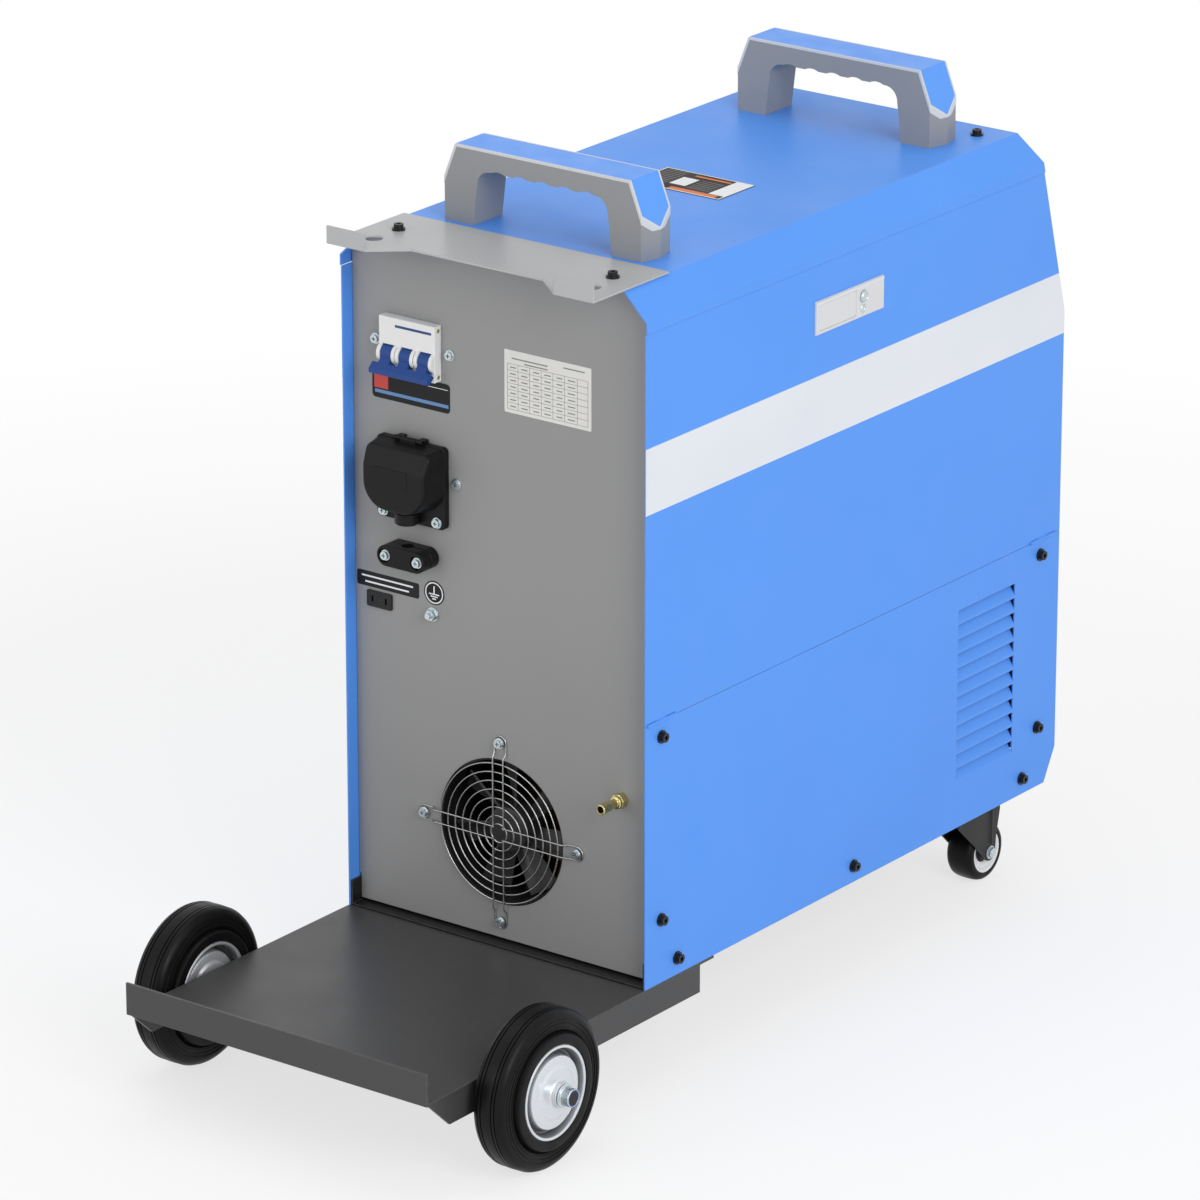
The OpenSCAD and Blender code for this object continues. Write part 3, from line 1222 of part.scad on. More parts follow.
module power_magnetics() color(COPPER) {
    // Transformer: feet, core and winding
    translate([power_x, fy(180), hz(plate)]) {
        block([-core[0] / 2, -core[1] / 2 - 8, 0], [core[0] / 2, core[1] / 2 + 8, 12]);
        block([-core[0] / 2, -core[1] / 2, 11.9], [core[0] / 2, core[1] / 2, core[2]]);
        block([-coil[0] / 2, -coil[1] / 2, 20], [coil[0] / 2, coil[1] / 2, 20 + coil[2]]);
    }
    // Choke in the lower bay of the feeder side
    translate([-70, fy(210), hz(plate)]) {
        block([-choke[0] / 2, -choke[1] / 2 - 10, 0], [choke[0] / 2, choke[1] / 2 + 10, 6]);
        block([-choke[0] / 2, -choke[1] / 2, 5.9], [choke[0] / 2, choke[1] / 2, choke[2]]);
        rotate([90, 0, 0]) translate([0, choke[2] - choke_r - 6, -choke[1] / 2 - 6])
            cylinder(r = choke_r, h = choke[1] + 12);
    }
}

fin_count = 11;
fin_t = 2;
sink = [90, 140, 62];
module heatsink() color(STEEL) translate([power_x, fy(case_len - 224), hz(plate)]) {
    block([-sink[0] / 2, -sink[1] / 2, 0], [sink[0] / 2, sink[1] / 2, 8]);
    for (i = [0:fin_count - 1]) translate([-sink[0] / 2 + i * (sink[0] - fin_t) / (fin_count - 1), 0, 0])
        block([0, -sink[1] / 2, 7.9], [fin_t, sink[1] / 2, sink[2]]);
}

board_x = inner - 14;
board_d = [90, case_len - 64];           // rear and front edge of the inverter board
board_h = [24, 190];
cap_pitch = 36;
capacitor = [15, 34];                    // radius and length
module inverter_board() color("#2f6b3f") {
    case_box(board_x, board_x + 1.6, board_d[0], board_d[1], board_h[0], board_h[1]);
    for (d = [board_d[0] + 20, board_d[1] - 20], h = [board_h[0] + 10, board_h[1] - 10])
        rod_x([board_x + 1.5, fy(d), hz(h)], 3, inner - board_x - 1.5);
    for (i = [0:3]) rod_x([board_x - capacitor[1], fy(board_d[0] + 40 + i * cap_pitch),
        hz(board_h[1] - 40)],
                          capacitor[0], capacitor[1] + 0.1);
    case_box(board_x - 22, board_x + 0.1, board_d[1] - 200, board_d[1] - 80, board_h[1] - 70,
        board_h[1] - 20);
}

// ---------------------------------------------------------------- front fittings

overlay_t = 2;
overlay_w = 230;
window_t = 0.8;
driver_w = overlay_w - 20;
board_low = knob_s - 16;                 // lower and upper edge of the driver board on the slope
board_high = slope_len - 30;
module control_panel() color("#17181a") {
    difference() {
        on_slope(0, slope_len / 2 + 2) linear_extrude(overlay_t) round_rect(overlay_w, slope_len - 28, 6);
        on_slope(0, button_s) translate([0, 0, -1]) cylinder(r = button_r + run_gap, h = 5);
    }
    for (s = [-1, 1]) {
        on_slope(s * knob_x, knob_s) translate([0, 0, -14]) cylinder(r = shaft_r, h = 14 + overlay_t + 10);
        on_slope(s * knob_x, slope_len - 48) translate([0, 0, overlay_t - 0.1])
            linear_extrude(window_t + 0.1)
            difference() {
                round_rect(62, 30, 3);
                round_rect(56, 24, 2);
            }
    }
    // Driver board behind the panel, on four posts
    on_slope(0, board_low) translate([-driver_w / 2, 0, -15]) cube([driver_w, board_high - board_low, 1.6]);
    for (x = [-1, 1], s = [board_low + 5, board_high - 10]) on_slope(x * (driver_w / 2 - 15), s)
        translate([0, 0, -14]) cylinder(r = 3, h = 14 - plate);
}

knob_r = 13;
module knob(side) color(BLACK) on_slope(side * knob_x, knob_s) translate([0, 0, overlay_t + 0.4])
    difference() {
    union() {
        cylinder(r = knob_r + 2, h = 3);
        cylinder(r = knob_r, h = 15);
    }
    translate([0, 0, -1]) cylinder(r = shaft_r + run_gap, h = 12);
    translate([-0.7, 4, 14]) cube([1.4, knob_r, 2]);
}
module left_knob() { knob(-1); }
module right_knob() { knob(1); }
module mode_button() color(ZINC) on_slope(0, button_s) translate([0, 0, -plate])
    cylinder(r = button_r, h = plate + overlay_t + 3);

torch_block = 17;
module torch_socket() color(BLACK) difference() {
    union() {
        translate([torch_x, fy(front_d), hz(torch_h)]) rotate([90, 0, 0]) linear_extrude(4)
            round_rect(56, 56, 5);
        rod_y([torch_x, fy(case_len + front_reach), hz(torch_h)], 15, recess + front_reach);
        rod_y([torch_x, fy(front_d + 16), hz(torch_h)], 20, 16);
        rod_y([torch_x, fy(front_d) - 0.1, hz(torch_h)], 15.8, 6);
        case_box(torch_x - torch_block, torch_x + torch_block, wall_front + 1, front_d - plate - 3,
            torch_h - torch_block, torch_h + torch_block);
    }
    rod_y([torch_x, fy(case_len + front_reach) - 1, hz(torch_h)], torch_bore_r,
        front_d - wall_front + recess + front_reach);
    for (s = [-1, 1]) rod_y([torch_x + s * 8.5, fy(case_len + front_reach) - 1, hz(torch_h + 5)], 1.8, 14);
}

module output_sockets() color(BLACK) both_sides() difference() {
    union() {
        rod_y([output_x, fy(front_d + 4), hz(output_h)], 21, 4);
        rod_y([output_x, fy(front_d + 14), hz(output_h)], 17, 14);
        rod_y([output_x, fy(front_d) - 0.1, hz(output_h)], 14, 30);
    }
    rod_y([output_x, fy(front_d + 15), hz(output_h)], output_bore_r, 36);
}

base_pan();
rear_panel();
front_panel();
plain_side_panel();
louvre_side_panel();
divider_wall();
roof_cover();
cover_screws();
bottle_bracket();
rear_handle_grip();
front_handle_grip();
handle_inlays();
breaker_body();
label_plates();
panel_screws();
terminal_base();
cable_clamp();
heater_socket();
fan_guard();
fan_frame();
gas_inlet();
gas_valve();
gas_hose();
bottle_tray();
axle();
axle_caps();
caster_plates();
power_magnetics();
heatsink();
inverter_board();
control_panel();
torch_socket();
output_sockets();
feeder_plate();
feed_motor();
spool_spindle();
breaker_toggle();
terminal_lid();
fan_impeller();
rim_left();
rim_right();
tyre_left();
tyre_right();
caster_fork_left();
caster_fork_right();
caster_wheel_left();
caster_wheel_right();
side_door();
latch_plate();
latch_paddle();
latch_button();
latch_bolt();
drive_roll();
pressure_arm();
pressure_roll();
wire_spool();
wire_pack();
left_knob();
right_knob();
mode_button();
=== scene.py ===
"""MIG welder on a gas bottle cart: its finishes, its finely shaped pieces, the light and the camera.

Lengths in the classes are millimetres. x runs across the machine, d is the depth from the rear edge of
the side panels towards the front, and h is the height above the deck on which the case stands.
"""

from __future__ import annotations

import logging
import math
from dataclasses import dataclass
from enum import Enum
from typing import ClassVar, Sequence

import bmesh
import bpy
from mathutils import Matrix, Vector


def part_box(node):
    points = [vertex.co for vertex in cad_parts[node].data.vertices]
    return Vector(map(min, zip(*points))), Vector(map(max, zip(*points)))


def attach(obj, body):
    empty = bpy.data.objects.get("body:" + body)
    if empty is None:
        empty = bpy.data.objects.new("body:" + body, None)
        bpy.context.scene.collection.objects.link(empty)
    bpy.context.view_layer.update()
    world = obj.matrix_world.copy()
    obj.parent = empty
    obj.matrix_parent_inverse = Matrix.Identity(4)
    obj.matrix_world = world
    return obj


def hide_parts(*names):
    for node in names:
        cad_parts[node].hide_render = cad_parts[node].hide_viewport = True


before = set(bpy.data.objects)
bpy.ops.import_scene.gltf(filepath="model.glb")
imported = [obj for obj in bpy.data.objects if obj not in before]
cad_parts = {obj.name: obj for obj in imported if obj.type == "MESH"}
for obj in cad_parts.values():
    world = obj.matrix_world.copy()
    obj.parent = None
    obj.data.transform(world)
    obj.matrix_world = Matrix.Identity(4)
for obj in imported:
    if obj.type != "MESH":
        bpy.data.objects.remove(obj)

MM = 0.001
TURN = 2 * math.pi
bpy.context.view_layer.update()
SIDE_LOW, SIDE_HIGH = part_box("plain_side_panel")
REAR, DECK, HALF = SIDE_HIGH.y, SIDE_LOW.z, SIDE_HIGH.x
REARWARD = Vector((0, 1, 0))
log = logging.getLogger("welder")

# Depth of the rear panel's outer face and height of the roof in mm, and the smallest sharp angle in degrees.
PANEL = 12.0
ROOF = 556.5
CREASE = 32.0

Point = tuple[float, float]
Triple = tuple[float, float, float]
Box = tuple[float, float, float, float]
Colour = tuple[int, int, int]
Socket = bpy.types.NodeSocket


class Axis(Enum):
    """Direction along which a shape is extruded or about which it is turned."""

    X = 0
    Y = 1
    Z = 2

    def vector(self) -> Vector:
        """Returns the unit vector of the axis."""
        return Vector([1.0 if i == self.value else 0.0 for i in range(3)])


def at(x: float, d: float, h: float) -> Vector:
    """Turns a place on the machine into scene coordinates.

    Args:
        x: Distance across the machine in mm.
        d: Depth from the rear edge in mm.
        h: Height above the deck in mm.

    Returns:
        The point in metres.
    """
    return Vector((x * MM, REAR - d * MM, DECK + h * MM))


def linear(colour: Colour) -> tuple[float, float, float, float]:
    """Turns display values from 0 to 255 into a scene colour.

    Args:
        colour: Red, green and blue as a display shows them.

    Returns:
        Linear red, green, blue and an alpha of 1.
    """
    steps = [c / 255 for c in colour]
    flat = [s / 12.92 if s <= 0.04045 else ((s + 0.055) / 1.055) ** 2.4 for s in steps]
    return (flat[0], flat[1], flat[2], 1.0)


def toned(colour: Sequence[float], factor: float, lift: float = 0.0) -> tuple[float, ...]:
    """Scales a scene colour and lifts it.

    Args:
        colour: Linear red, green and blue, and perhaps an alpha.
        factor: What they are multiplied by.
        lift: What is added to them.

    Returns:
        Linear red, green and blue, at most 1, and an alpha of 1.
    """
    return tuple(min(1.0, c * factor + lift) for c in colour[:3]) + (1.0,)


def hand(side: int) -> str:
    """Returns the word for a side of the machine, -1 or 1."""
    return "left" if side < 0 else "right"


def placed(name: str, data: bpy.types.ID) -> bpy.types.Object:
    """Puts object data into the scene.

    Args:
        name: Name of the object.
        data: Its mesh, camera or light.

    Returns:
        The new object.
    """
    made = bpy.data.objects.new(name, data)
    bpy.context.scene.collection.objects.link(made)
    return made


def about(centre: Vector, turn: Matrix) -> Matrix:
    """Makes a transform work about a point.

    Args:
        centre: The point that stays, in metres.
        turn: The transform about the origin.

    Returns:
        The transform about the point.
    """
    return Matrix.Translation(centre) @ turn @ Matrix.Translation(-centre)


# ---------------------------------------------------------------- shapes


def arc(centre: Point, radius: float, start: float, end: float, steps: int = 8) -> list[Point]:
    """Lists points along an arc.

    Args:
        centre: Middle of the arc.
        radius: Its radius.
        start: Angle of the first point in degrees.
        end: Angle of the last point in degrees.
        steps: Number of chords.

    Returns:
        steps + 1 points.
    """
    angles = [math.radians(start + (end - start) * i / steps) for i in range(steps + 1)]
    return [(centre[0] + radius * math.cos(a), centre[1] + radius * math.sin(a)) for a in angles]


def rounded(low: Point, high: Point, radius: float, steps: int = 6) -> list[Point]:
    """Lists the outline of a rectangle with round corners.

    Args:
        low: Lowest corner.
        high: Highest corner.
        radius: Corner radius.
        steps: Chords in each corner.

    Returns:
        The outline, counter-clockwise.
    """
    (a, b), (c, e) = low, high
    corners = [((c - radius, b + radius), -90), ((c - radius, e - radius), 0),
               ((a + radius, e - radius), 90), ((a + radius, b + radius), 180)]
    return [p for centre, turn in corners for p in arc(centre, radius, turn, turn + 90, steps)]


def mirrored(line: Sequence[Point], middle: float = 0.0) -> list[Point]:
    """Lists the other half of a symmetrical line.

    Args:
        line: One half.
        middle: First coordinate of the mirror.

    Returns:
        The mirrored points, last one first.
    """
    return [(2 * middle - a, b) for a, b in reversed(line)]


def sharpen(bm: bmesh.types.BMesh, crease: float = CREASE) -> None:
    """Marks the edges that stay sharp in the shading.

    Args:
        bm: The mesh.
        crease: The smallest angle of a sharp edge in degrees.
    """
    limit = math.radians(crease)
    for edge in bm.edges:
        edge.smooth = len(edge.link_faces) == 2 and edge.calc_face_angle(0.0) < limit


def even_out(piece: bpy.types.Object) -> None:
    """Weights the shading by the size of the faces."""
    piece.modifiers.new("even_shading", "WEIGHTED_NORMAL").keep_sharp = True


class Shape:
    """A mesh under construction, held as one bmesh in scene metres."""

    def __init__(self) -> None:
        """Starts an empty mesh."""
        self.bm = bmesh.new()

    def mesh(self, name: str) -> bpy.types.Mesh:
        """Turns the shape into mesh data, which uses it up.

        Args:
            name: Name of the data.

        Returns:
            The mesh data.
        """
        made = bpy.data.meshes.new(name)
        self.bm.to_mesh(made)
        self.bm.free()
        return made

    def add(self, other: Shape) -> Shape:
        """Takes over the faces of another shape.

        Args:
            other: The shape that is used up.

        Returns:
            This shape.
        """
        spare = other.mesh("spare")
        self.bm.from_mesh(spare)
        bpy.data.meshes.remove(spare)
        return self

    def round_off(self, edges: Sequence[bmesh.types.BMEdge], width: float, segments: int) -> Shape:
        """Rounds the given edges.

        Args:
            edges: The edges.
            width: Width of the rounding in mm.
            segments: Faces across the rounding.

        Returns:
            This shape.
        """
        bmesh.ops.bevel(self.bm, geom=edges, offset=width * MM, offset_type="OFFSET", segments=segments,
                        profile=0.5, affect="EDGES", clamp_overlap=True, material=-1)
        return self

    def bevel(self, width: float, segments: int = 3, angle: float = 25.0, inside: bool = True) -> Shape:
        """Rounds the sharp edges.

        Args:
            width: Width of the rounding in mm.
            segments: Faces across the rounding.
            angle: Edges flatter than this many degrees stay.
            inside: Whether inner corners are rounded too.

        Returns:
            This shape.
        """
        limit = math.radians(angle)
        edges = [e for e in self.bm.edges if len(e.link_faces) == 2
                 and e.calc_face_angle(0.0) > limit and (inside or e.is_convex)]
        return self.round_off(edges, width, segments)

    def cut(self, point: Vector, normal: Vector) -> Shape:
        """Cuts away what lies on the normal's side of a plane and closes the cut.

        Args:
            point: A point on the plane.
            normal: The side that goes.

        Returns:
            This shape.
        """
        geom = self.bm.verts[:] + self.bm.edges[:] + self.bm.faces[:]
        found = bmesh.ops.bisect_plane(self.bm, geom=geom, dist=1e-7, plane_co=point, plane_no=normal,
                                       clear_outer=True)
        rim = [g for g in found["geom_cut"] if isinstance(g, bmesh.types.BMEdge)]
        bmesh.ops.edgenet_fill(self.bm, edges=rim)
        return self

    def thicken(self, thickness: float) -> Shape:
        """Gives a shell its thickness in mm."""
        bmesh.ops.solidify(self.bm, geom=self.bm.faces[:], thickness=thickness * MM)
        return self

    def moved(self, matrix: Matrix) -> Shape:
        """Applies a transform to every point.

        Args:
            matrix: The transform in metres.

        Returns:
            This shape.
        """
        bmesh.ops.transform(self.bm, matrix=matrix, verts=self.bm.verts[:])
        return self

    def tidy(self) -> Shape:
        """Welds doubled points and turns all faces outwards.

        Returns:
            This shape.
        """
        bmesh.ops.remove_doubles(self.bm, verts=self.bm.verts[:], dist=1e-6)
        bmesh.ops.recalc_face_normals(self.bm, faces=self.bm.faces[:])
        return self

    def piece(self, name: str, body: str, finish: Finish, slot: str, replaces: Sequence[str] = (),
              crease: float = CREASE) -> bpy.types.Object:
        """Turns the shape into a piece that rides on a body.

        Args:
            name: Name of the piece.
            body: The body that it moves with.
            finish: Its finish.
            slot: Material slot in the record; not used.
            replaces: Nodes that it stands for.
            crease: Edges sharper than this many degrees stay sharp in the shading.

        Returns:
            The new object.
        """
        for face in self.bm.faces:
            face.smooth = True
        sharpen(self.bm, crease)
        mesh = self.mesh(name)
        made = placed(name, mesh)
        mesh.materials.append(finish.material())
        even_out(made)
        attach(made, body)
        if replaces:
            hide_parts(*replaces)
        log.info("%s: %d faces on %s", name, len(mesh.polygons), body)
        return made


def spread(axis: Axis, a: float, b: float, along: float) -> Vector:
    """Places a point of an outline that is extruded along an axis.

    Args:
        axis: Direction of the extrusion.
        a: First coordinate: x, or the depth d when the axis is X.
        b: Second coordinate: the height h, or the depth d when the axis is Z.
        along: Place along the axis.

    Returns:
        The point in metres.
    """
    if axis is Axis.X:
        return at(along, a, b)
    if axis is Axis.Y:
        return at(a, along, b)
    return at(a, b, along)


def prism(outline: Sequence[Point], axis: Axis, start: float, end: float) -> Shape:
    """Extrudes an outline.

    Args:
        outline: Its points in mm.
        axis: Direction of the extrusion.
        start: Where it starts along the axis.
        end: Where it ends.

    Returns:
        The closed solid.
    """
    made = Shape()
    ring = [made.bm.verts.new(spread(axis, a, b, start)) for a, b in outline]
    face = made.bm.faces.new(ring)
    found = bmesh.ops.extrude_face_region(made.bm, geom=[face], use_keep_orig=True)
    top = [g for g in found["geom"] if isinstance(g, bmesh.types.BMVert)]
    bmesh.ops.translate(made.bm, verts=top, vec=spread(axis, 0, 0, end) - spread(axis, 0, 0, start))
    return made.tidy()


def block(low: Triple, high: Triple) -> Shape:
    """Makes a box.

    Args:
        low: Its lowest corner as x, d and h in mm.
        high: Its highest corner.

    Returns:
        The box.
    """
    (a, start, b), (c, end, e) = low, high
    return prism([(a, b), (c, b), (c, e), (a, e)], Axis.Y, start, end)


def slab(place: Matrix, size: Triple) -> Shape:
    """Makes a box in a frame of its own.

    Args:
        place: Transform to its centre, in metres.
        size: Its three edges in mm.

    Returns:
        The box.
    """
    made = Shape()
    bmesh.ops.create_cube(made.bm, size=1.0)
    return made.moved(place @ Matrix.Diagonal(Vector(size) * MM).to_4x4())


def lathe(profile: Sequence[Point], centre: Vector, axis: Vector, steps: int = 96,
          closed: bool = False) -> Shape:
    """Turns a profile about an axis.

    Args:
        profile: Pairs of the distance along the axis and the radius, in mm.
        centre: Where the axis starts.
        axis: Its direction.
        steps: Facets round the axis.
        closed: Whether the profile closes on itself and so leaves a bore.

    Returns:
        The turned solid.
    """
    made = Shape()
    along = axis.normalized()
    out = along.orthogonal().normalized()
    verts = [made.bm.verts.new(centre + (along * a + out * r) * MM) for a, r in profile]
    pairs = list(zip(verts, verts[1:])) + ([(verts[-1], verts[0])] if closed else [])
    edges = [made.bm.edges.new(pair) for pair in pairs]
    bmesh.ops.spin(made.bm, geom=verts + edges, cent=centre, axis=along, dvec=(0, 0, 0), angle=TURN,
                   steps=steps, use_merge=True, use_duplicate=False)
    return made.tidy()


def drum(centre: Vector, axis: Vector, radius: float, length: float, edge: float = 0.4,
         steps: int = 48) -> Shape:
    """Turns a short cylinder with rounded rims.

    Args:
        centre: Centre of its first face, in metres.
        axis: Direction from there to the other face.
        radius: Its radius in mm.
        length: Its length in mm.
        edge: Width of the rounding in mm.
        steps: Facets round the axis.

    Returns:
        The closed solid.
    """
    e = min(edge, length / 3, radius / 3)
    near = [(0, 0), (0, radius - e), (e * 0.3, radius - e * 0.3), (e, radius)]
    return lathe(near + [(length - a, r) for a, r in reversed(near)], centre, axis, steps)


def wire(points: Sequence[Vector], radius: float, closed: bool = False, bend: float = 0.0,
         sides: int = 3) -> Shape:
    """Bends a round wire along points.

    Args:
        points: Its centre line in metres.
        radius: Wire radius in mm.
        closed: Whether the wire joins up.
        bend: Corner radius in mm.
        sides: Resolution of the round section.

    Returns:
        The wire with closed ends.
    """
    line = list(points)
    if bend:
        soft = [line[0]]
        for before, here, after in zip(line, line[1:], line[2:]):
            reach = min(bend * MM, (before - here).length / 2, (after - here).length / 2)
            first = here + (before - here).normalized() * reach
            last = here + (after - here).normalized() * reach
            soft += [first.lerp(here, t).lerp(here.lerp(last, t), t) for t in (0, 0.25, 0.5, 0.75, 1)]
        line = soft + [line[-1]]
    curve = bpy.data.curves.new("wire", "CURVE")
    curve.dimensions = "3D"
    curve.bevel_depth = radius * MM
    curve.bevel_resolution = sides
    curve.use_fill_caps = not closed
    spline = curve.splines.new("POLY")
    spline.points.add(len(line) - 1)
    for place, point in zip(line, spline.points):
        point.co = (*place, 1)
    spline.use_cyclic_u = closed
    holder = bpy.data.objects.new("wire", curve)
    mesh = bpy.data.meshes.new_from_object(holder)
    made = Shape()
    made.bm.from_mesh(mesh)
    bpy.data.objects.remove(holder)
    bpy.data.curves.remove(curve)
    bpy.data.meshes.remove(mesh)
    return made.tidy()


# ---------------------------------------------------------------- finishes


class Graph:
    """Node tree, with short calls for the steps that the finishes and the light share."""

    def __init__(self, tree: bpy.types.NodeTree) -> None:
        """Starts on a tree.

        Args:
            tree: The tree that nodes are added to.
        """
        self.tree = tree

    def node(self, kind: str, **values: object) -> bpy.types.Node:
        """Adds a node.

        Args:
            kind: Type of the node.
            **values: Its properties.

        Returns:
            The node.
        """
        made = self.tree.nodes.new(kind)
        for key, value in values.items():
            setattr(made, key, value)
        return made

    def give(self, sockets: Sequence[Socket], *values: object) -> None:
        """Sets or links input sockets, each with its own value.

        Args:
            sockets: The inputs.
            *values: Values or output sockets.
        """
        for socket, value in zip(sockets, values):
            if isinstance(value, Socket):
                self.tree.links.new(value, socket)
            else:
                socket.default_value = value

    def feed(self, node: bpy.types.Node, **inputs: object) -> bpy.types.Node:
        """Sets or links a node's inputs, with underscores for the blanks in their names.

        Args:
            node: The node.
            **inputs: Values or output sockets.

        Returns:
            The node.
        """
        for key, value in inputs.items():
            self.give([node.inputs[key.replace("_", " ")]], value)
        return node

    def math(self, operation: str, *values: object) -> Socket:
        """Adds a Math node.

        Args:
            operation: What it works out.
            *values: Numbers or output sockets.

        Returns:
            The result.
        """
        made = self.node("ShaderNodeMath", operation=operation)
        self.give(made.inputs, *values)
        return made.outputs[0]

    def vector_math(self, operation: str, *values: object, result: str = "Vector") -> Socket:
        """Adds a Vector Math node.

        Args:
            operation: What it works out.
            *values: Vectors or output sockets.
            result: Name of the wanted output.

        Returns:
            The result.
        """
        made = self.node("ShaderNodeVectorMath", operation=operation)
        self.give(made.inputs, *values)
        return made.outputs[result]

    def ranged(self, value: Socket, low: float, high: float, start: float = 0.3,
               end: float = 0.7) -> Socket:
        """Maps a value from one range onto another.

        Args:
            value: The value.
            low: Result at the start of its range.
            high: Result at the end.
            start: Start of its range.
            end: End of its range.

        Returns:
            The result.
        """
        return self.feed(self.node("ShaderNodeMapRange"), Value=value, From_Min=start, From_Max=end,
                         To_Min=low, To_Max=high).outputs["Result"]

    def seen(self) -> Socket:
        """Returns 1 for the rays that show a surface: camera, glossy and transmission rays."""
        path = self.node("ShaderNodeLightPath").outputs
        shown = self.math("MAXIMUM", path["Is Camera Ray"], path["Is Glossy Ray"])
        return self.math("MAXIMUM", shown, path["Is Transmission Ray"])


class Recipe(Graph):
    """Node tree of one material."""

    def __init__(self, name: str) -> None:
        """Starts a material with a bare shader.

        Args:
            name: Name of the material.
        """
        self.out = bpy.data.materials.new(name)
        self.out.use_nodes = True
        super().__init__(self.out.node_tree)
        self.shader = self.tree.nodes["Principled BSDF"]
        self.place = self.node("ShaderNodeTexCoord").outputs["Object"]

    def stretched(self, scale: Triple) -> Socket:
        """Returns the object's coordinates, stretched by a scale."""
        made = self.feed(self.node("ShaderNodeMapping"), Vector=self.place, Scale=scale)
        return made.outputs["Vector"]

    def noise(self, scale: float, detail: float = 3.0, vector: Socket | None = None) -> Socket:
        """Adds a noise texture.

        Args:
            scale: Its scale per metre.
            detail: Its number of octaves.
            vector: Coordinates other than the object's own.

        Returns:
            Its value.
        """
        made = self.node("ShaderNodeTexNoise")
        return self.feed(made, Vector=vector or self.place, Scale=scale, Detail=detail).outputs["Fac"]

    def mixed(self, factor: object, first: object, second: object) -> Socket:
        """Blends two colours.

        Args:
            factor: Share of the second one.
            first: The first colour.
            second: The second colour.

        Returns:
            The blend.
        """
        made = self.node("ShaderNodeMix", data_type="RGBA")
        # A Mix node has sockets for every type of data; these are the ones for colours.
        self.give([made.inputs[0], made.inputs[6], made.inputs[7]], factor, first, second)
        return made.outputs[2]

    def soft_edges(self, radius: float) -> Socket:
        """Returns the normal of the surface with its edges rounded by a radius in mm."""
        return self.feed(self.node("ShaderNodeBevel", samples=6), Radius=radius * MM).outputs["Normal"]

    def edge_mask(self, normal: Socket) -> Socket:
        """Finds the edges.

        Args:
            normal: The normal with rounded edges.

        Returns:
            1 where it leaves the true normal, that is along edges.
        """
        true = self.node("ShaderNodeNewGeometry").outputs["Normal"]
        facing = self.vector_math("DOT_PRODUCT", normal, true, result="Value")
        return self.ranged(facing, 1.0, 0.0, 0.86, 0.985)

    def bump(self, height: Socket, depth: float, normal: Socket | None = None) -> Socket:
        """Disturbs the normal by a height.

        Args:
            height: The height, from 0 to 1.
            depth: Its full depth in mm.
            normal: A normal other than the surface's own.

        Returns:
            The disturbed normal.
        """
        made = self.feed(self.node("ShaderNodeBump"), Height=height, Strength=1.0, Distance=depth * MM)
        if normal is not None:
            self.feed(made, Normal=normal)
        return made.outputs["Normal"]


@dataclass(frozen=True)
class Finish:
    """A finish whose material is made once and shared."""

    name: str
    colour: Colour
    roughness: float = 0.45
    rounding: float = 0.0
    depth: float = 0.01
    grain: float = 900.0
    ready: ClassVar[dict[str, bpy.types.Material]] = {}

    def material(self) -> bpy.types.Material:
        """Returns the material, made at the first call."""
        if self.name not in self.ready:
            recipe = Recipe(self.name)
            self.mix(recipe)
            self.ready[self.name] = recipe.out
        return self.ready[self.name]

    def mix(self, recipe: Recipe) -> None:
        """Fills the recipe. Each kind of finish has its own way.

        Args:
            recipe: The material under construction.
        """
        raise NotImplementedError

    def surface(self, recipe: Recipe, height: Socket) -> Socket | None:
        """Sets the shader's normal from a height, over rounded edges if the finish has them.

        Args:
            recipe: The material under construction.
            height: Height of the surface texture.

        Returns:
            A mask of the edges, or None where they aren't rounded.
        """
        edges = recipe.soft_edges(self.rounding) if self.rounding else None
        recipe.feed(recipe.shader, Normal=recipe.bump(height, self.depth, edges))
        return recipe.edge_mask(edges) if edges is not None else None

    def uneven(self, recipe: Recipe, texture: Socket, below: float, above: float) -> Socket:
        """Varies the roughness with a texture.

        Args:
            recipe: The material under construction.
            texture: The texture.
            below: How far the roughness falls.
            above: How far it rises.

        Returns:
            The roughness.
        """
        return recipe.ranged(texture, self.roughness - below, self.roughness + above)


@dataclass(frozen=True)
class Coat(Finish):
    """Powder coat on sheet steel: fine orange peel, slight unevenness of tone, and a painted highlight along
    the edges.
    """

    band: Colour | None = None
    band_low: float = 0.0
    band_high: float = 0.0
    skin: float = 0.3

    def mix(self, recipe: Recipe) -> None:
        """Makes the coat.

        Args:
            recipe: The material under construction.
        """
        base = linear(self.colour)
        paint: object = base
        if self.band:
            spot = recipe.feed(recipe.node("ShaderNodeSeparateXYZ"), Vector=recipe.place).outputs
            middle = DECK + (self.band_low + self.band_high) / 2 * MM
            reach = (self.band_high - self.band_low) / 2 * MM
            level = recipe.math("COMPARE", spot["Z"], middle, reach)
            outside = recipe.math("COMPARE", recipe.math("ABSOLUTE", spot["X"]), HALF, self.skin * MM)
            paint = recipe.mixed(recipe.math("MULTIPLY", level, outside), base, linear(self.band))
        tone = recipe.ranged(recipe.noise(7.0, 2.0), 0.0, 0.07)
        coat = recipe.mixed(tone, paint, toned(base, 0.55))
        edges = self.surface(recipe, recipe.noise(self.grain, 2.0))
        if edges is not None:
            # Painted highlight: the rounded edges are lightened, unevenly, towards a pale tone of the paint.
            painted_edge_highlight = recipe.math("MULTIPLY", edges, recipe.ranged(recipe.noise(160.0, 3.0), 0.12, 0.4))
            coat = recipe.mixed(painted_edge_highlight, coat, toned(base, 0.6, 0.34))
        smudge = self.uneven(recipe, recipe.noise(18.0, 4.0), 0.05, 0.06)
        recipe.feed(recipe.shader, Base_Color=coat, Roughness=smudge, Specular_IOR_Level=0.36)


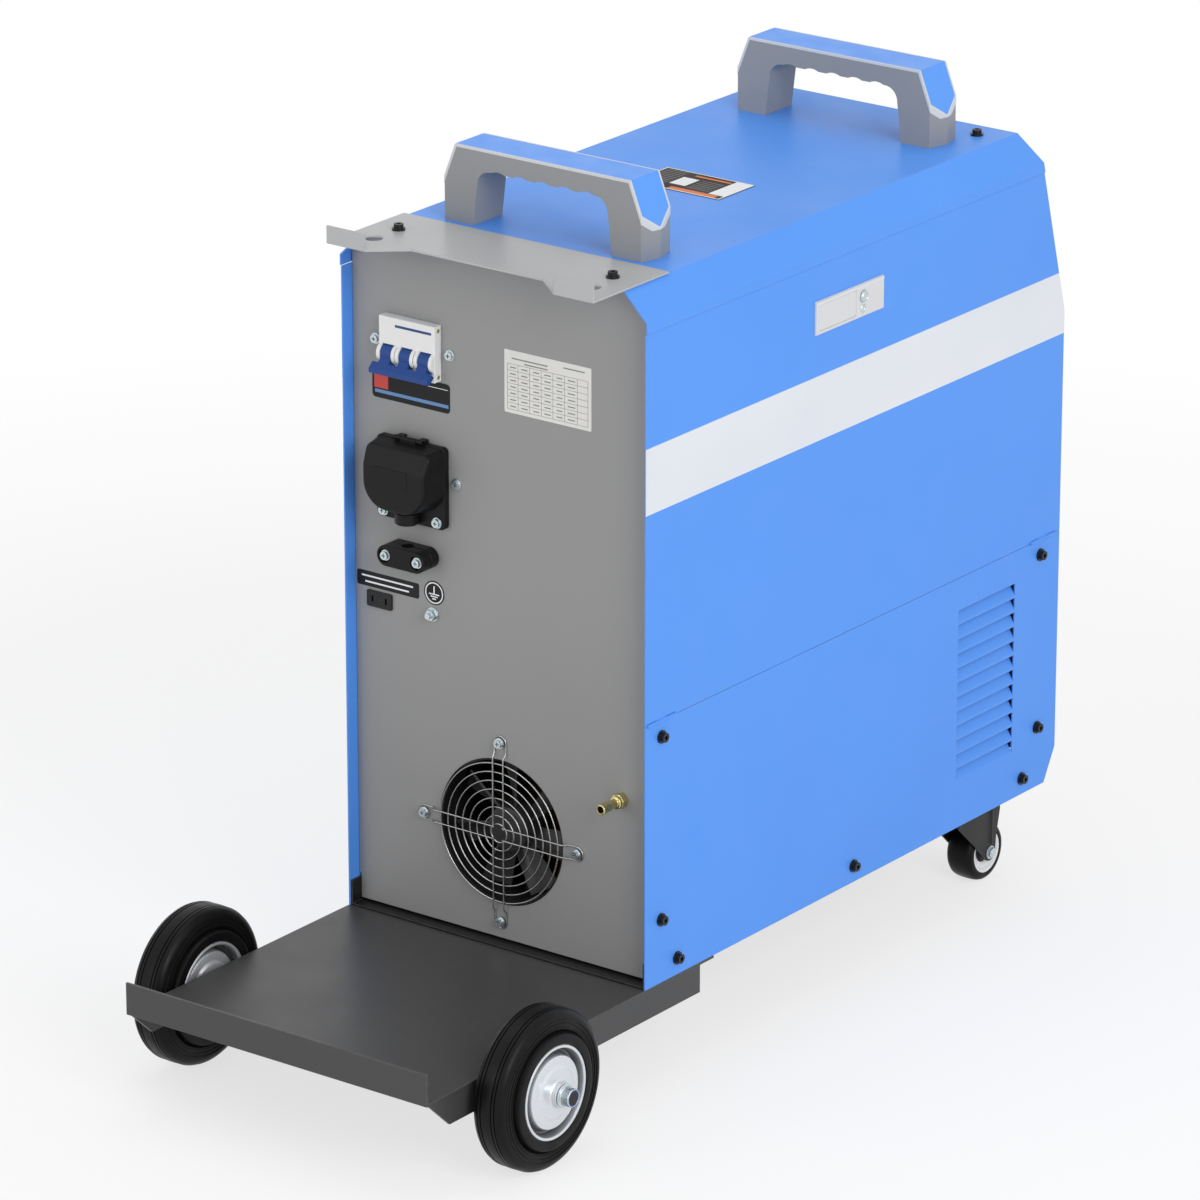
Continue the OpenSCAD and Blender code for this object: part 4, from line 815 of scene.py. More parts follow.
@dataclass(frozen=True)
class Plastic(Finish):
    """Moulded plastic: fine spark-eroded grain, a faint bloom of tone and a painted highlight along rounded
    edges.
    """

    gloss: float = 0.5
    # Colour of the painted highlight along rounded edges.
    rim: Colour | None = None

    def mix(self, recipe: Recipe) -> None:
        """Makes the plastic.

        Args:
            recipe: The material under construction.
        """
        base = linear(self.colour)
        bloom = recipe.ranged(recipe.noise(14.0, 3.0), 0.0, 0.14)
        pale = toned(base, 1.25, 0.015)
        tone = recipe.mixed(bloom, base, pale)
        edges = self.surface(recipe, recipe.noise(self.grain, 2.0))
        if edges is not None:
            # Painted highlight: rounded edges are lightened towards the rim colour, or towards a paler tone
            # of the plastic.
            light = linear(self.rim) if self.rim else pale
            tone = recipe.mixed(recipe.math("MULTIPLY", edges, 0.8 if self.rim else 0.25), tone, light)
        uneven = self.uneven(recipe, recipe.noise(45.0, 3.0), 0.06, 0.08)
        recipe.feed(recipe.shader, Base_Color=tone, Roughness=uneven, Specular_IOR_Level=self.gloss)


@dataclass(frozen=True)
class Metal(Finish):
    """Bare or plated metal: fine drawn lines or mottling in tone and roughness."""

    drawn: Triple = (1.0, 1.0, 1.0)
    tint: Colour = (190, 200, 205)
    metallic: float = 1.0

    def mix(self, recipe: Recipe) -> None:
        """Makes the metal.

        Args:
            recipe: The material under construction.
        """
        lines = recipe.noise(self.grain, 3.0, recipe.stretched(self.drawn))
        tone = recipe.mixed(recipe.ranged(lines, 0.0, 0.35), linear(self.colour), linear(self.tint))
        self.surface(recipe, lines)
        uneven = self.uneven(recipe, recipe.noise(60.0, 3.0), 0.07, 0.1)
        recipe.feed(recipe.shader, Base_Color=tone, Roughness=uneven, Metallic=self.metallic)


@dataclass(frozen=True)
class Turned(Metal):
    """Pressed wheel disc: plated metal with painted shade at the foot of the groove inside its lip."""

    axis_d: float = 0.0
    axis_h: float = 0.0
    groove: tuple[float, float] = (0.0, 0.0)
    shade: Colour = (90, 94, 98)

    def mix(self, recipe: Recipe) -> None:
        """Makes the metal and paints shade into the groove.

        Args:
            recipe: The material under construction.
        """
        super().mix(recipe)
        plain = recipe.shader.inputs["Base Color"].links[0].from_socket
        away = recipe.vector_math("SUBTRACT", recipe.place, at(0.0, self.axis_d, self.axis_h))
        flat = recipe.vector_math("MULTIPLY", away, (0.0, 1.0, 1.0))
        radius = recipe.vector_math("LENGTH", flat, result="Value")
        low, high = self.groove
        middle, reach = (low + high) / 2 * MM, (high - low) / 2 * MM
        off = recipe.math("ABSOLUTE", recipe.math("SUBTRACT", radius, middle))
        # Painted shade: the colour darkens towards the middle of the groove between these radii.
        painted_groove_shade = recipe.ranged(off, 0.85, 0.0, reach * 0.45, reach)
        recipe.feed(recipe.shader, Base_Color=recipe.mixed(painted_groove_shade, plain, linear(self.shade)))


@dataclass(frozen=True)
class Rubber(Finish):
    """Moulded rubber: matt, with a faint dusty bloom and tiny pits."""

    bloom: Colour = (92, 92, 94)

    def mix(self, recipe: Recipe) -> None:
        """Makes the rubber.

        Args:
            recipe: The material under construction.
        """
        dust = recipe.ranged(recipe.noise(22.0, 5.0), 0.0, 0.16, 0.42, 0.75)
        tone = recipe.mixed(dust, linear(self.colour), linear(self.bloom))
        self.surface(recipe, recipe.noise(self.grain, 3.0))
        uneven = self.uneven(recipe, recipe.noise(80.0, 3.0), 0.08, 0.1)
        recipe.feed(recipe.shader, Base_Color=tone, Roughness=uneven, Specular_IOR_Level=0.14)


@dataclass(frozen=True)
class Winding(Finish):
    """Wire laid turn beside turn: the turns run round the x axis, one wire apart, with painted shade between
    them.
    """

    pitch: float = 1.0
    tint: Colour = (226, 150, 104)
    valley_shade: Colour = (84, 44, 24)

    def mix(self, recipe: Recipe) -> None:
        """Makes the winding.

        Args:
            recipe: The material under construction.
        """
        wave = recipe.node("ShaderNodeTexWave", wave_type="BANDS", bands_direction="X", wave_profile="SIN")
        recipe.feed(wave, Vector=recipe.place, Scale=1 / (self.pitch * MM) / 3.1, Distortion=0.6, Detail=2.0,
                    Detail_Scale=0.6)
        turns = wave.outputs["Fac"]
        streak = recipe.noise(30.0, 4.0, recipe.stretched((14.0, 1.0, 1.0)))
        tone = recipe.mixed(recipe.ranged(streak, 0.0, 0.5), linear(self.colour), linear(self.tint))
        # Painted shade: the colour darkens in the valleys between the turns.
        shade = recipe.mixed(recipe.math("SUBTRACT", 0.55, turns), tone, linear(self.valley_shade))
        self.surface(recipe, turns)
        uneven = self.uneven(recipe, streak, 0.05, 0.1)
        recipe.feed(recipe.shader, Base_Color=shade, Roughness=uneven, Metallic=0.9)


@dataclass(frozen=True)
class Board(Finish):
    """Circuit board: solder mask with copper tracks under it and rows of pads."""

    track: Colour = (58, 128, 82)
    pad: Colour = (196, 190, 170)

    def mix(self, recipe: Recipe) -> None:
        """Makes the board.

        Args:
            recipe: The material under construction.
        """
        bricks = recipe.node("ShaderNodeTexBrick", offset=0.5, squash=0.6)
        grid = recipe.feed(recipe.node("ShaderNodeMapping"), Vector=recipe.place,
                           Rotation=(0.0, math.pi / 2, 0.0))
        recipe.feed(bricks, Vector=grid.outputs["Vector"], Scale=90.0, Mortar_Size=0.06,
                    Color1=linear(self.colour), Color2=linear(self.track), Mortar=linear(self.track))
        cells = recipe.node("ShaderNodeTexVoronoi", feature="F1")
        recipe.feed(cells, Vector=recipe.place, Scale=260.0)
        spots = recipe.math("LESS_THAN", cells.outputs["Distance"], 0.17)
        tone = recipe.mixed(recipe.math("MULTIPLY", spots, 0.8), bricks.outputs["Color"], linear(self.pad))
        self.surface(recipe, spots)
        recipe.feed(recipe.shader, Base_Color=tone, Roughness=recipe.ranged(recipe.noise(50.0), 0.3, 0.45))


class Palette:
    """Every finish of the machine, named for what it covers."""

    BLUE = Coat("blue_coat", (84, 151, 242), 0.42, rounding=0.7, depth=0.010, grain=1400.0)
    SIDE = Coat("blue_side_coat", (84, 151, 242), 0.42, rounding=0.7, depth=0.010, grain=1400.0,
                band=(224, 227, 232), band_low=383.5, band_high=436.0)
    GREY = Coat("grey_panel_coat", (146, 146, 146), 0.44, rounding=0.6, depth=0.010, grain=1500.0)
    PAN = Coat("black_pan_coat", (26, 26, 27), 0.42, rounding=0.6, depth=0.010)
    TRAY = Coat("dark_tray_coat", (66, 66, 66), 0.38, rounding=0.9, depth=0.014, grain=1100.0)
    BRACKET = Coat("bracket_coat", (178, 179, 180), 0.32, rounding=0.5, depth=0.002, grain=1500.0)
    GRIP = Plastic("grip_plastic", (142, 144, 147), 0.46, depth=0.012, grain=1600.0)
    # Pale band for the painted highlight on the grip's rounded edge round the inlay.
    HANDLE_HIGHLIGHT = Plastic("lip_highlight_plastic", (204, 207, 210), 0.4, depth=0.008, grain=1600.0)
    INLAY = Plastic("inlay_plastic", (84, 151, 242), 0.4, depth=0.008, grain=1600.0)
    BLACK = Plastic("satin_black", (30, 30, 31), 0.4, rounding=0.4, depth=0.010, grain=1500.0, gloss=0.25)
    FAN = Plastic("fan_plastic", (52, 52, 53), 0.36, depth=0.010, grain=1500.0, gloss=0.3)
    SHELL = Plastic("box_plastic", (20, 20, 21), 0.32, depth=0.006, grain=1500.0, gloss=0.16)
    BREAKER = Plastic("breaker_white", (226, 226, 225), 0.42, depth=0.006, grain=1600.0)
    TOGGLE = Plastic("lever_blue", (28, 66, 134), 0.36, depth=0.006, grain=1600.0, gloss=0.3)
    # The latch's rounded edges carry a near-white painted highlight.
    LATCH = Plastic("latch_grey", (208, 209, 211), 0.34, rounding=1.1, depth=0.006, grain=1500.0,
                    rim=(246, 247, 248))
    # Near-white finish for the painted highlight along the latch frame's top edge.
    EDGE = Plastic("latch_painted_highlight", (250, 251, 252), 0.3, depth=0.003)
    FILM_PALE = Plastic("pale_film", (216, 215, 211), 0.5, depth=0.004)
    FILM_BLACK = Plastic("black_film", (26, 26, 28), 0.4, depth=0.004, gloss=0.2)
    FILM_BROWN = Plastic("dark_film", (40, 36, 34), 0.5, depth=0.004, gloss=0.15)
    INK_WHITE = Plastic("white_ink", (232, 234, 236), 0.5, depth=0.002)
    INK_GREY = Plastic("grey_ink", (128, 128, 128), 0.55, depth=0.002)
    INK_RED = Plastic("red_ink", (196, 62, 52), 0.5, depth=0.002)
    INK_SKY = Plastic("sky_ink", (92, 134, 182), 0.5, depth=0.002)
    INK_ORANGE = Plastic("orange_ink", (214, 112, 40), 0.5, depth=0.002)
    INK_NAVY = Plastic("navy_ink", (28, 62, 118), 0.5, depth=0.002)
    BLACK_SCREW = Metal("dark_zinc", (18, 18, 19), 0.34, rounding=0.3, depth=0.004, tint=(40, 40, 43),
                        metallic=0.3)
    ZINC = Metal("bright_zinc", (206, 214, 218), 0.26, rounding=0.3, depth=0.004, tint=(166, 186, 192))
    WIRE = Metal("guard_wire", (178, 178, 176), 0.26, depth=0.002, tint=(132, 132, 130))
    STEEL = Metal("galvanised_sheet", (168, 171, 175), 0.4, rounding=0.4, depth=0.004, grain=60.0,
                  tint=(196, 200, 204))
    ALUMINIUM = Metal("milled_aluminium", (190, 192, 195), 0.34, rounding=0.4, depth=0.006,
                      drawn=(1.0, 12.0, 1.0))
    BRASS = Metal("turned_brass", (208, 194, 136), 0.22, rounding=0.3, depth=0.004, tint=(236, 226, 178))
    COPPER = Winding("coil_winding", (176, 96, 52), 0.4, depth=0.25, pitch=2.4)
    WELD_WIRE = Winding("welding_wire", (196, 116, 72), 0.3, depth=0.3, pitch=1.1)
    BOARD = Board("circuit_board", (20, 74, 44), 0.4, depth=0.05)
    TYRE = Rubber("wheel_rubber", (14, 14, 15), 0.38, depth=0.010, grain=1200.0, bloom=(34, 34, 35))
    HOSE = Rubber("hose_black", (24, 24, 25), 0.5, depth=0.01)
    # The rim's groove is darkened with painted shade.
    RIM = Turned("rim_silver", (222, 225, 229), 0.3, depth=0.004, tint=(198, 203, 208), metallic=0.7,
                 axis_h=-17.5, axis_d=-162.5, groove=(28.4, 35.0), shade=(62, 65, 68))
    HUB_GREY = Plastic("hub_grey", (232, 233, 235), 0.36, depth=0.006)
    DISPLAY = Plastic("display_lens", (16, 17, 20), 0.12, depth=0.001)
    DIGIT = Plastic("display_digit", (214, 64, 44), 0.4, depth=0.001)


def dress(finish: Finish, *nodes: str) -> None:
    """Gives carried-over nodes a finish.

    Args:
        finish: The finish.
        *nodes: Names of the nodes.
    """
    for node in nodes:
        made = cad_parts[node]
        if made.material_slots:
            made.material_slots[0].material = finish.material()
        else:
            made.data.materials.append(finish.material())
        log.info("%s: %s", node, finish.name)


# ---------------------------------------------------------------- case


class Cabinet:
    """Panels, roof, pan, inner walls and what stays as it was constructed."""

    def build(self) -> None:
        """Dresses the sheet metal and the plain inner pieces."""
        dress(Palette.SIDE, "side_door", "plain_side_panel")
        dress(Palette.BLUE, "louvre_side_panel", "roof_cover")
        dress(Palette.GREY, "rear_panel", "front_panel")
        dress(Palette.PAN, "base_pan", "caster_plates", "feed_motor")
        dress(Palette.TRAY, "bottle_tray")
        dress(Palette.BRACKET, "bottle_bracket")
        dress(Palette.BLACK_SCREW, "cover_screws")
        dress(Palette.ZINC, "panel_screws", "axle", "latch_bolt", "drive_roll", "pressure_roll",
              "mode_button")
        dress(Palette.STEEL, "divider_wall", "gas_valve")
        dress(Palette.ALUMINIUM, "heatsink", "feeder_plate")
        dress(Palette.COPPER, "power_magnetics")
        dress(Palette.WELD_WIRE, "wire_pack")
        dress(Palette.BOARD, "inverter_board")
        dress(Palette.HOSE, "gas_hose")
        dress(Palette.BLACK, "fan_frame", "heater_socket", "torch_socket", "output_sockets", "spool_spindle",
              "pressure_arm", "wire_spool", "control_panel")


@dataclass
class RoofHandle:
    """One moulded handle: a grip with finger grooves and a coloured inlay over its top and ends."""

    name: str
    depth: float
    roof: float = ROOF
    half: float = 98.5
    top_half: float = 83.0
    height: float = 62.0
    shoulder: float = 22.5
    width: float = 37.0
    ridge: float = 4.9
    gap_half: float = 66.0
    gap_height: float = 44.5
    gap_corner: float = 12.0
    groove_radius: float = 14.0
    groove_pitch: float = 21.0
    groove_depth: float = 1.6
    inlay: float = 1.2
    rim: float = 1.9
    lip: float = 2.2
    step: float = 0.25
    point: float = 0.9
    shrink: float = 0.5

    def outer(self, inset: float) -> list[Point]:
        """Lists the outer line over the top, from one shoulder to the other.

        Args:
            inset: How far the line is drawn in.

        Returns:
            Its four points.
        """
        lean = math.atan2(self.height - self.shoulder, self.half - self.top_half)
        side = self.half - inset / math.sin(lean)
        top = self.top_half - inset * math.tan(lean / 2)
        shoulder, height = self.roof + self.shoulder, self.roof + self.height - inset
        return [(-side, shoulder), (-top, height), (top, height), (side, shoulder)]

    def gap(self) -> list[Point]:
        """Lists the line of the finger gap with its grooves.

        Returns:
            Its points, from right to left.
        """
        inner = self.gap_half - 4
        ceiling = self.roof + self.gap_height
        centre = (inner - self.gap_corner, ceiling - self.gap_corner)
        right = [(self.gap_half, self.roof)] + arc(centre, self.gap_corner, 0, 90)
        reach = math.degrees(math.acos(1 - self.groove_depth / self.groove_radius))
        grooves = [p for i in range(2, -3, -1)
                   for p in arc((i * self.groove_pitch, ceiling + self.groove_depth - self.groove_radius),
                                self.groove_radius, 90 - reach, 90 + reach, 6)]
        return right + grooves + mirrored(right)

    def cover(self, outside: float, inside: float) -> Shape:
        """Makes a band that lies over the top and both slanting ends.

        Args:
            outside: Inset of its outer face in mm.
            inside: Inset of its inner face.

        Returns:
            The band, wider than the handle.
        """
        line = self.outer(outside) + self.outer(inside)[::-1]
        return prism(line, Axis.Y, self.depth - self.width, self.depth + self.width)

    def trim(self, shape: Shape, across: float, ends: float) -> Shape:
        """Cuts a shape to the six-sided plan of the handle.

        Args:
            shape: The shape.
            across: How far its two sides are drawn in.
            ends: How far its four end faces are drawn in.

        Returns:
            The shape.
        """
        for side in (-1, 1):
            shape.cut(at(0, self.depth + side * (self.width / 2 - across), 0), Vector((0, -side, 0)))
            for end in (-1, 1):
                corner = at(end * (self.half - self.ridge), self.depth + side * self.width / 2, 0)
                tip = at(end * self.half, self.depth, 0)
                normal = (tip - corner).normalized().cross(Vector((0, 0, 1)))
                if normal.x * end < 0:
                    normal = -normal
                shape.cut(tip - normal * ends * MM, normal)
        return shape

    def build(self, stands_for: str) -> None:
        """Makes the grip, the pale lip that paints a highlight round the inlay, and the inlay.

        Args:
            stands_for: The node that the grip replaces.
        """
        s = self.shrink
        line = self.outer(s)
        outline = [(-self.half + s, self.roof)] + line + [(self.half - s, self.roof)] + self.gap()
        grip = prism(outline, Axis.Y, self.depth - self.width, self.depth + self.width)
        self.trim(grip, self.step, s).tidy().bevel(1.2, 3, 24)
        grip.piece(f"{self.name}_grip", "case", Palette.GRIP, "handle_plastic", [stands_for])
        # The pale lip round the inlay is a painted highlight on the grip's rounded edge.
        lip = self.trim(self.cover(0.15, self.lip), 0.0, 0.2).tidy().bevel(0.4, 2, 24)
        lip.piece(f"{self.name}_lip", "case", Palette.HANDLE_HIGHLIGHT, "handle_plastic")
        inlay = self.trim(self.cover(0.0, self.inlay), self.rim, self.point).tidy().bevel(0.2, 2, 24)
        inlay.piece(f"{self.name}_inlay", "case", Palette.INLAY, "blue_plastic", ["handle_inlays"])


# ---------------------------------------------------------------- wheels


@dataclass
class RearWheel:
    """Rubber tyre on a pressed disc wheel, with the cap on the axle's end."""

    side: int
    centre: tuple[float, float, float] = (165.6, -162.5, -17.5)
    radius: float = 63.5
    rim: float = 37.5
    bead_half: float = 18.0
    tread_half: float = 14.5
    hub: float = 10.3
    boss: float = 25.0
    dish: float = 3.4
    cap: float = 7.3
    bore: float = 6.05
    dished: float = 31.0
    ribs: tuple[float, ...] = (49.5, 52.5, 55.5)
    grooves: tuple[float, ...] = (6.6, 9.6)

    def place(self) -> Vector:
        """Returns the wheel's centre."""
        return at(self.side * self.centre[0], self.centre[1], self.centre[2])

    def tyre_line(self) -> list[Point]:
        """Lists one half of the tyre's section.

        Returns:
            The bead, the ribbed side wall, the shoulder and the tread.
        """
        wall, bead, top, rim = self.tread_half, self.bead_half, self.radius, self.rim
        line = [(bead - 0.8, rim), (bead - 0.1, rim + 0.6), (bead, rim + 1.6), (bead, rim + 6.6),
                (bead - 0.5, rim + 7.6), (bead - 1.6, rim + 8.2), (wall - 1.8, rim + 9.0),
                (wall - 1.2, rim + 10.0)]
        for rib in self.ribs:
            line += [(wall - 0.5, rib - 1.5), (wall - 0.2, rib - 0.5), (wall + 0.35, rib - 0.35),
                     (wall + 0.35, rib + 0.35), (wall - 0.2, rib + 0.5)]
        line += [(wall - 0.3, top - 6.0), (wall - 0.9, top - 4.4), (wall - 2.0, top - 2.6),
                 (wall - 3.6, top - 1.2), (wall - 5.4, top - 0.5)]
        for inset in self.grooves:
            groove = wall - inset
            line += [(groove + 0.5, top - 0.2), (groove + 0.35, top - 1.6), (groove - 0.35, top - 1.6),
                     (groove - 0.5, top - 0.2)]
        return line + [(1.5, top)]

    def build(self) -> None:
        """Makes the tyre, the disc and the cap."""
        word = hand(self.side)
        body = f"rear_wheel_{word}"
        out = Vector((self.side, 0, 0))
        half = self.tyre_line()
        tyre = lathe(half + mirrored(half), self.place(), out, 128, closed=True)
        tyre.piece(f"{word}_tyre", body, Palette.TYRE, "tyre_rubber", [f"tyre_{word}"])
        lip, bore, boss, hub = self.bead_half, self.bore, self.boss, self.hub
        nave = [(boss - 0.6, bore), (boss, bore + 0.6), (boss, hub - 1.2), (boss - 0.35, hub - 0.35),
                (boss - 1.2, hub)]
        face = [(lip + 2.8, hub), (lip + 2.0, hub + 0.8), (lip + 1.7, 12.5), (lip + 1.4, 18.6),
                (lip + 0.9, 20.0), (lip, 21.2), (lip - 0.3, 22.4), (lip - 0.6, 26.8), (lip - 1.3, 28.4),
                (lip - 2.8, 29.2), (lip - 6.4, 29.9), (lip - 7.6, 30.4), (lip - 8.2, 31.6), (lip - 7.6, 32.8),
                (lip - 6.0, 33.7), (lip - 1.4, 34.4), (lip - 0.4, 34.9), (lip - 0.05, 35.9),
                (lip - 0.3, 36.8), (lip - 1.0, self.rim - 0.25)]
        back = [((self.dish if r < self.dished else 0.0) - a, r) for a, r in reversed(face)]
        back += [(1.0 - lip, hub - 0.5), (1.0 - lip, bore)]
        disc = lathe(nave + face + back, self.place(), out, 128, closed=True)
        disc.piece(f"{word}_rim", body, Palette.RIM, "rim_paint", [f"rim_{word}"])
        self.end_cap(word, out)

    def end_cap(self, word: str, out: Vector) -> None:
        """Makes the silver cap ring with its dark disc and coloured edge.

        Args:
            word: left or right.
            out: Direction away from the machine.
        """
        start = self.place() + out * (self.boss + 0.3) * MM
        foot = [(5.8, 0), (5.8, 6.1), (0, 6.1), (0, 9.0), (0.5, 9.5), (1.2, 9.5), (1.6, 9.0)]
        barrel = [(1.8, self.cap + 0.5), (2.6, self.cap), (8.2, self.cap), (8.8, self.cap - 0.3),
                  (9.0, self.cap - 0.7), (9.0, 6.4), (8.2, 6.2), (8.2, 0)]
        made = lathe(foot + barrel, start, out, 64)
        made.piece(f"{word}_axle_cap", "case", Palette.ZINC, "zinc", ["axle_caps"])
        edge = [(8.0, 0), (8.0, 6.3), (8.6, 6.3), (8.8, 5.9), (8.8, 5.3), (8.5, 5.2), (8.5, 0)]
        face = lathe(edge, start, out, 48)
        face.piece(f"{word}_cap_edge", "case", Palette.TOGGLE, "toggle_plastic")
        dark = lathe([(8.3, 0), (8.3, 5.3), (8.7, 5.0), (8.75, 0)], start, out, 48)
        dark.piece(f"{word}_cap_disc", "case", Palette.BLACK, "black_plastic")


@dataclass
class CasterWheel:
    """Small rubber-tyred wheel with a pale hub ring, inside its fork."""

    side: int
    centre: tuple[float, float, float] = (104.0, 510.0, -55.5)
    radius: float = 25.5
    half: float = 12.5

    def build(self) -> None:
        """Makes the tyre, the hub ring and the dark hub on both faces."""
        word = hand(self.side)
        body = f"caster_roller_{word}"
        middle = at(self.side * self.centre[0], self.centre[1], self.centre[2])
        r, w = self.radius, self.half
        tread = [(w - 1.2, 17.2), (w - 0.4, 18.2), (w - 0.1, 19.2), (w - 0.2, r - 4.4), (w - 0.9, r - 2.8),
                 (w - 2.6, r - 1.2), (w - 5.0, r - 0.4), (w - 8.5, r - 0.05), (1.0, r)]
        ring = [(w - 4.4, 9.8), (w - 4.0, 10.2), (w - 2.8, 15.0), (w - 1.0, 15.8), (w - 0.4, 17.0),
                (w - 0.5, 18.0), (w - 1.4, 18.4)]
        core = [(w - 0.1, 3.1), (w, 3.6), (w, 6.2), (w - 0.6, 6.9), (w - 3.6, 7.4), (w - 4.8, 8.2),
                (w - 4.8, 10.4)]
        tyre, hub, dark = (lathe(half + mirrored(half), middle, Axis.X.vector(), steps, closed=True)
                           for half, steps in ((tread, 96), (ring, 72), (core, 72)))
        tyre.piece(f"caster_tyre_{word}", body, Palette.TYRE, "tyre_rubber", [f"caster_wheel_{word}"])
        hub.piece(f"caster_hub_ring_{word}", body, Palette.HUB_GREY, "latch_plastic")
        dark.piece(f"caster_hub_{word}", body, Palette.BLACK, "black_plastic")


@dataclass
class CasterFork:
    """Pressed fork of a caster: crown, two tapering cheeks with a fold, axle bolt and nut."""

    side: int
    x: float = 104.0
    pin_d: float = 490.0
    trail: float = 20.0
    axle_h: float = -55.5
    top_h: float = -13.0
    crown: float = 3.0
    reach: float = 13.5
    sheet: float = 2.0
    foot: float = 7.6
    rear: float = 26.0
    front: float = 34.0
    pin: float = 6.0

    def cheek(self, edge: float, sheet: float) -> Shape:
        """Makes one cheek, which narrows towards the axle.

        Args:
            edge: Side of the wheel, -1 or 1.
            sheet: Thickness of the sheet in mm.

        Returns:
            The cheek with rounded edges.
        """
        d, h = self.pin_d + self.trail, self.axle_h
        rear, front = self.pin_d - self.rear, self.pin_d + self.front
        line = [(rear, self.top_h), (rear, self.top_h - 8)] + arc((d, h), self.foot, 205, 360, 10)
        line += [(d + 9.0, h + 12.0), (front, h + 34.5), (front, self.top_h)]
        start = self.side * self.x + edge * self.reach + (0 if edge > 0 else -sheet)
        return prism(line, Axis.X, start, start + sheet).bevel(0.5, 2, 40)

    def build(self) -> None:
        """Makes the fork with its bolt."""
        word = hand(self.side)
        middle = self.side * self.x
        d, h = self.pin_d + self.trail, self.axle_h
        wide, low = self.reach + self.sheet, self.top_h - self.crown
        made = lathe([(0, 5.1), (0, 17.0), (self.crown, 17.0), (self.crown, 5.1)],
                     at(middle, self.pin_d, low), Axis.Z.vector(), 64, closed=True)
        pin, rear, front = self.pin, self.rear, self.front
        for a, b, near, far in ((-wide, -pin, -rear, front), (pin, wide, -rear, front),
                                (-pin, pin, -rear, -pin), (-pin, pin, pin, front)):
            part = block((middle + a, self.pin_d + near, low), (middle + b, self.pin_d + far, self.top_h))
            made.add(part.bevel(0.4, 2))
        for edge in (-1, 1):
            made.add(self.cheek(edge, self.sheet))
            fold = middle + edge * (wide - 0.3)
            made.add(wire([at(fold, d + 1.0, self.top_h - 1), at(fold, d + 1.0, h + 7)], 1.8, sides=5))
        made.piece(f"fork_{word}", f"caster_{word}", Palette.PAN, "black_paint", [f"caster_fork_{word}"])
        bolt = Shape()
        for edge in (-1, 1):
            out = Vector((edge, 0, 0))
            start = at(middle + edge * wide, d, h)
            bolt.add(drum(start, out, 5.6, 0.8, 0.2, 40))
            bolt.add(drum(start + out * 0.8 * MM, out, 4.6, 2.4, 0.5, 6))
            bolt.add(drum(start + out * 3.2 * MM, out, 2.4, 0.3, 0.1, 24))
        bolt.add(drum(at(middle - wide, d, h), Axis.X.vector(), 2.9, 2 * wide, 0.1, 32))
        bolt.piece(f"fork_bolt_{word}", f"caster_{word}", Palette.ZINC, "zinc")


# ---------------------------------------------------------------- rear panel


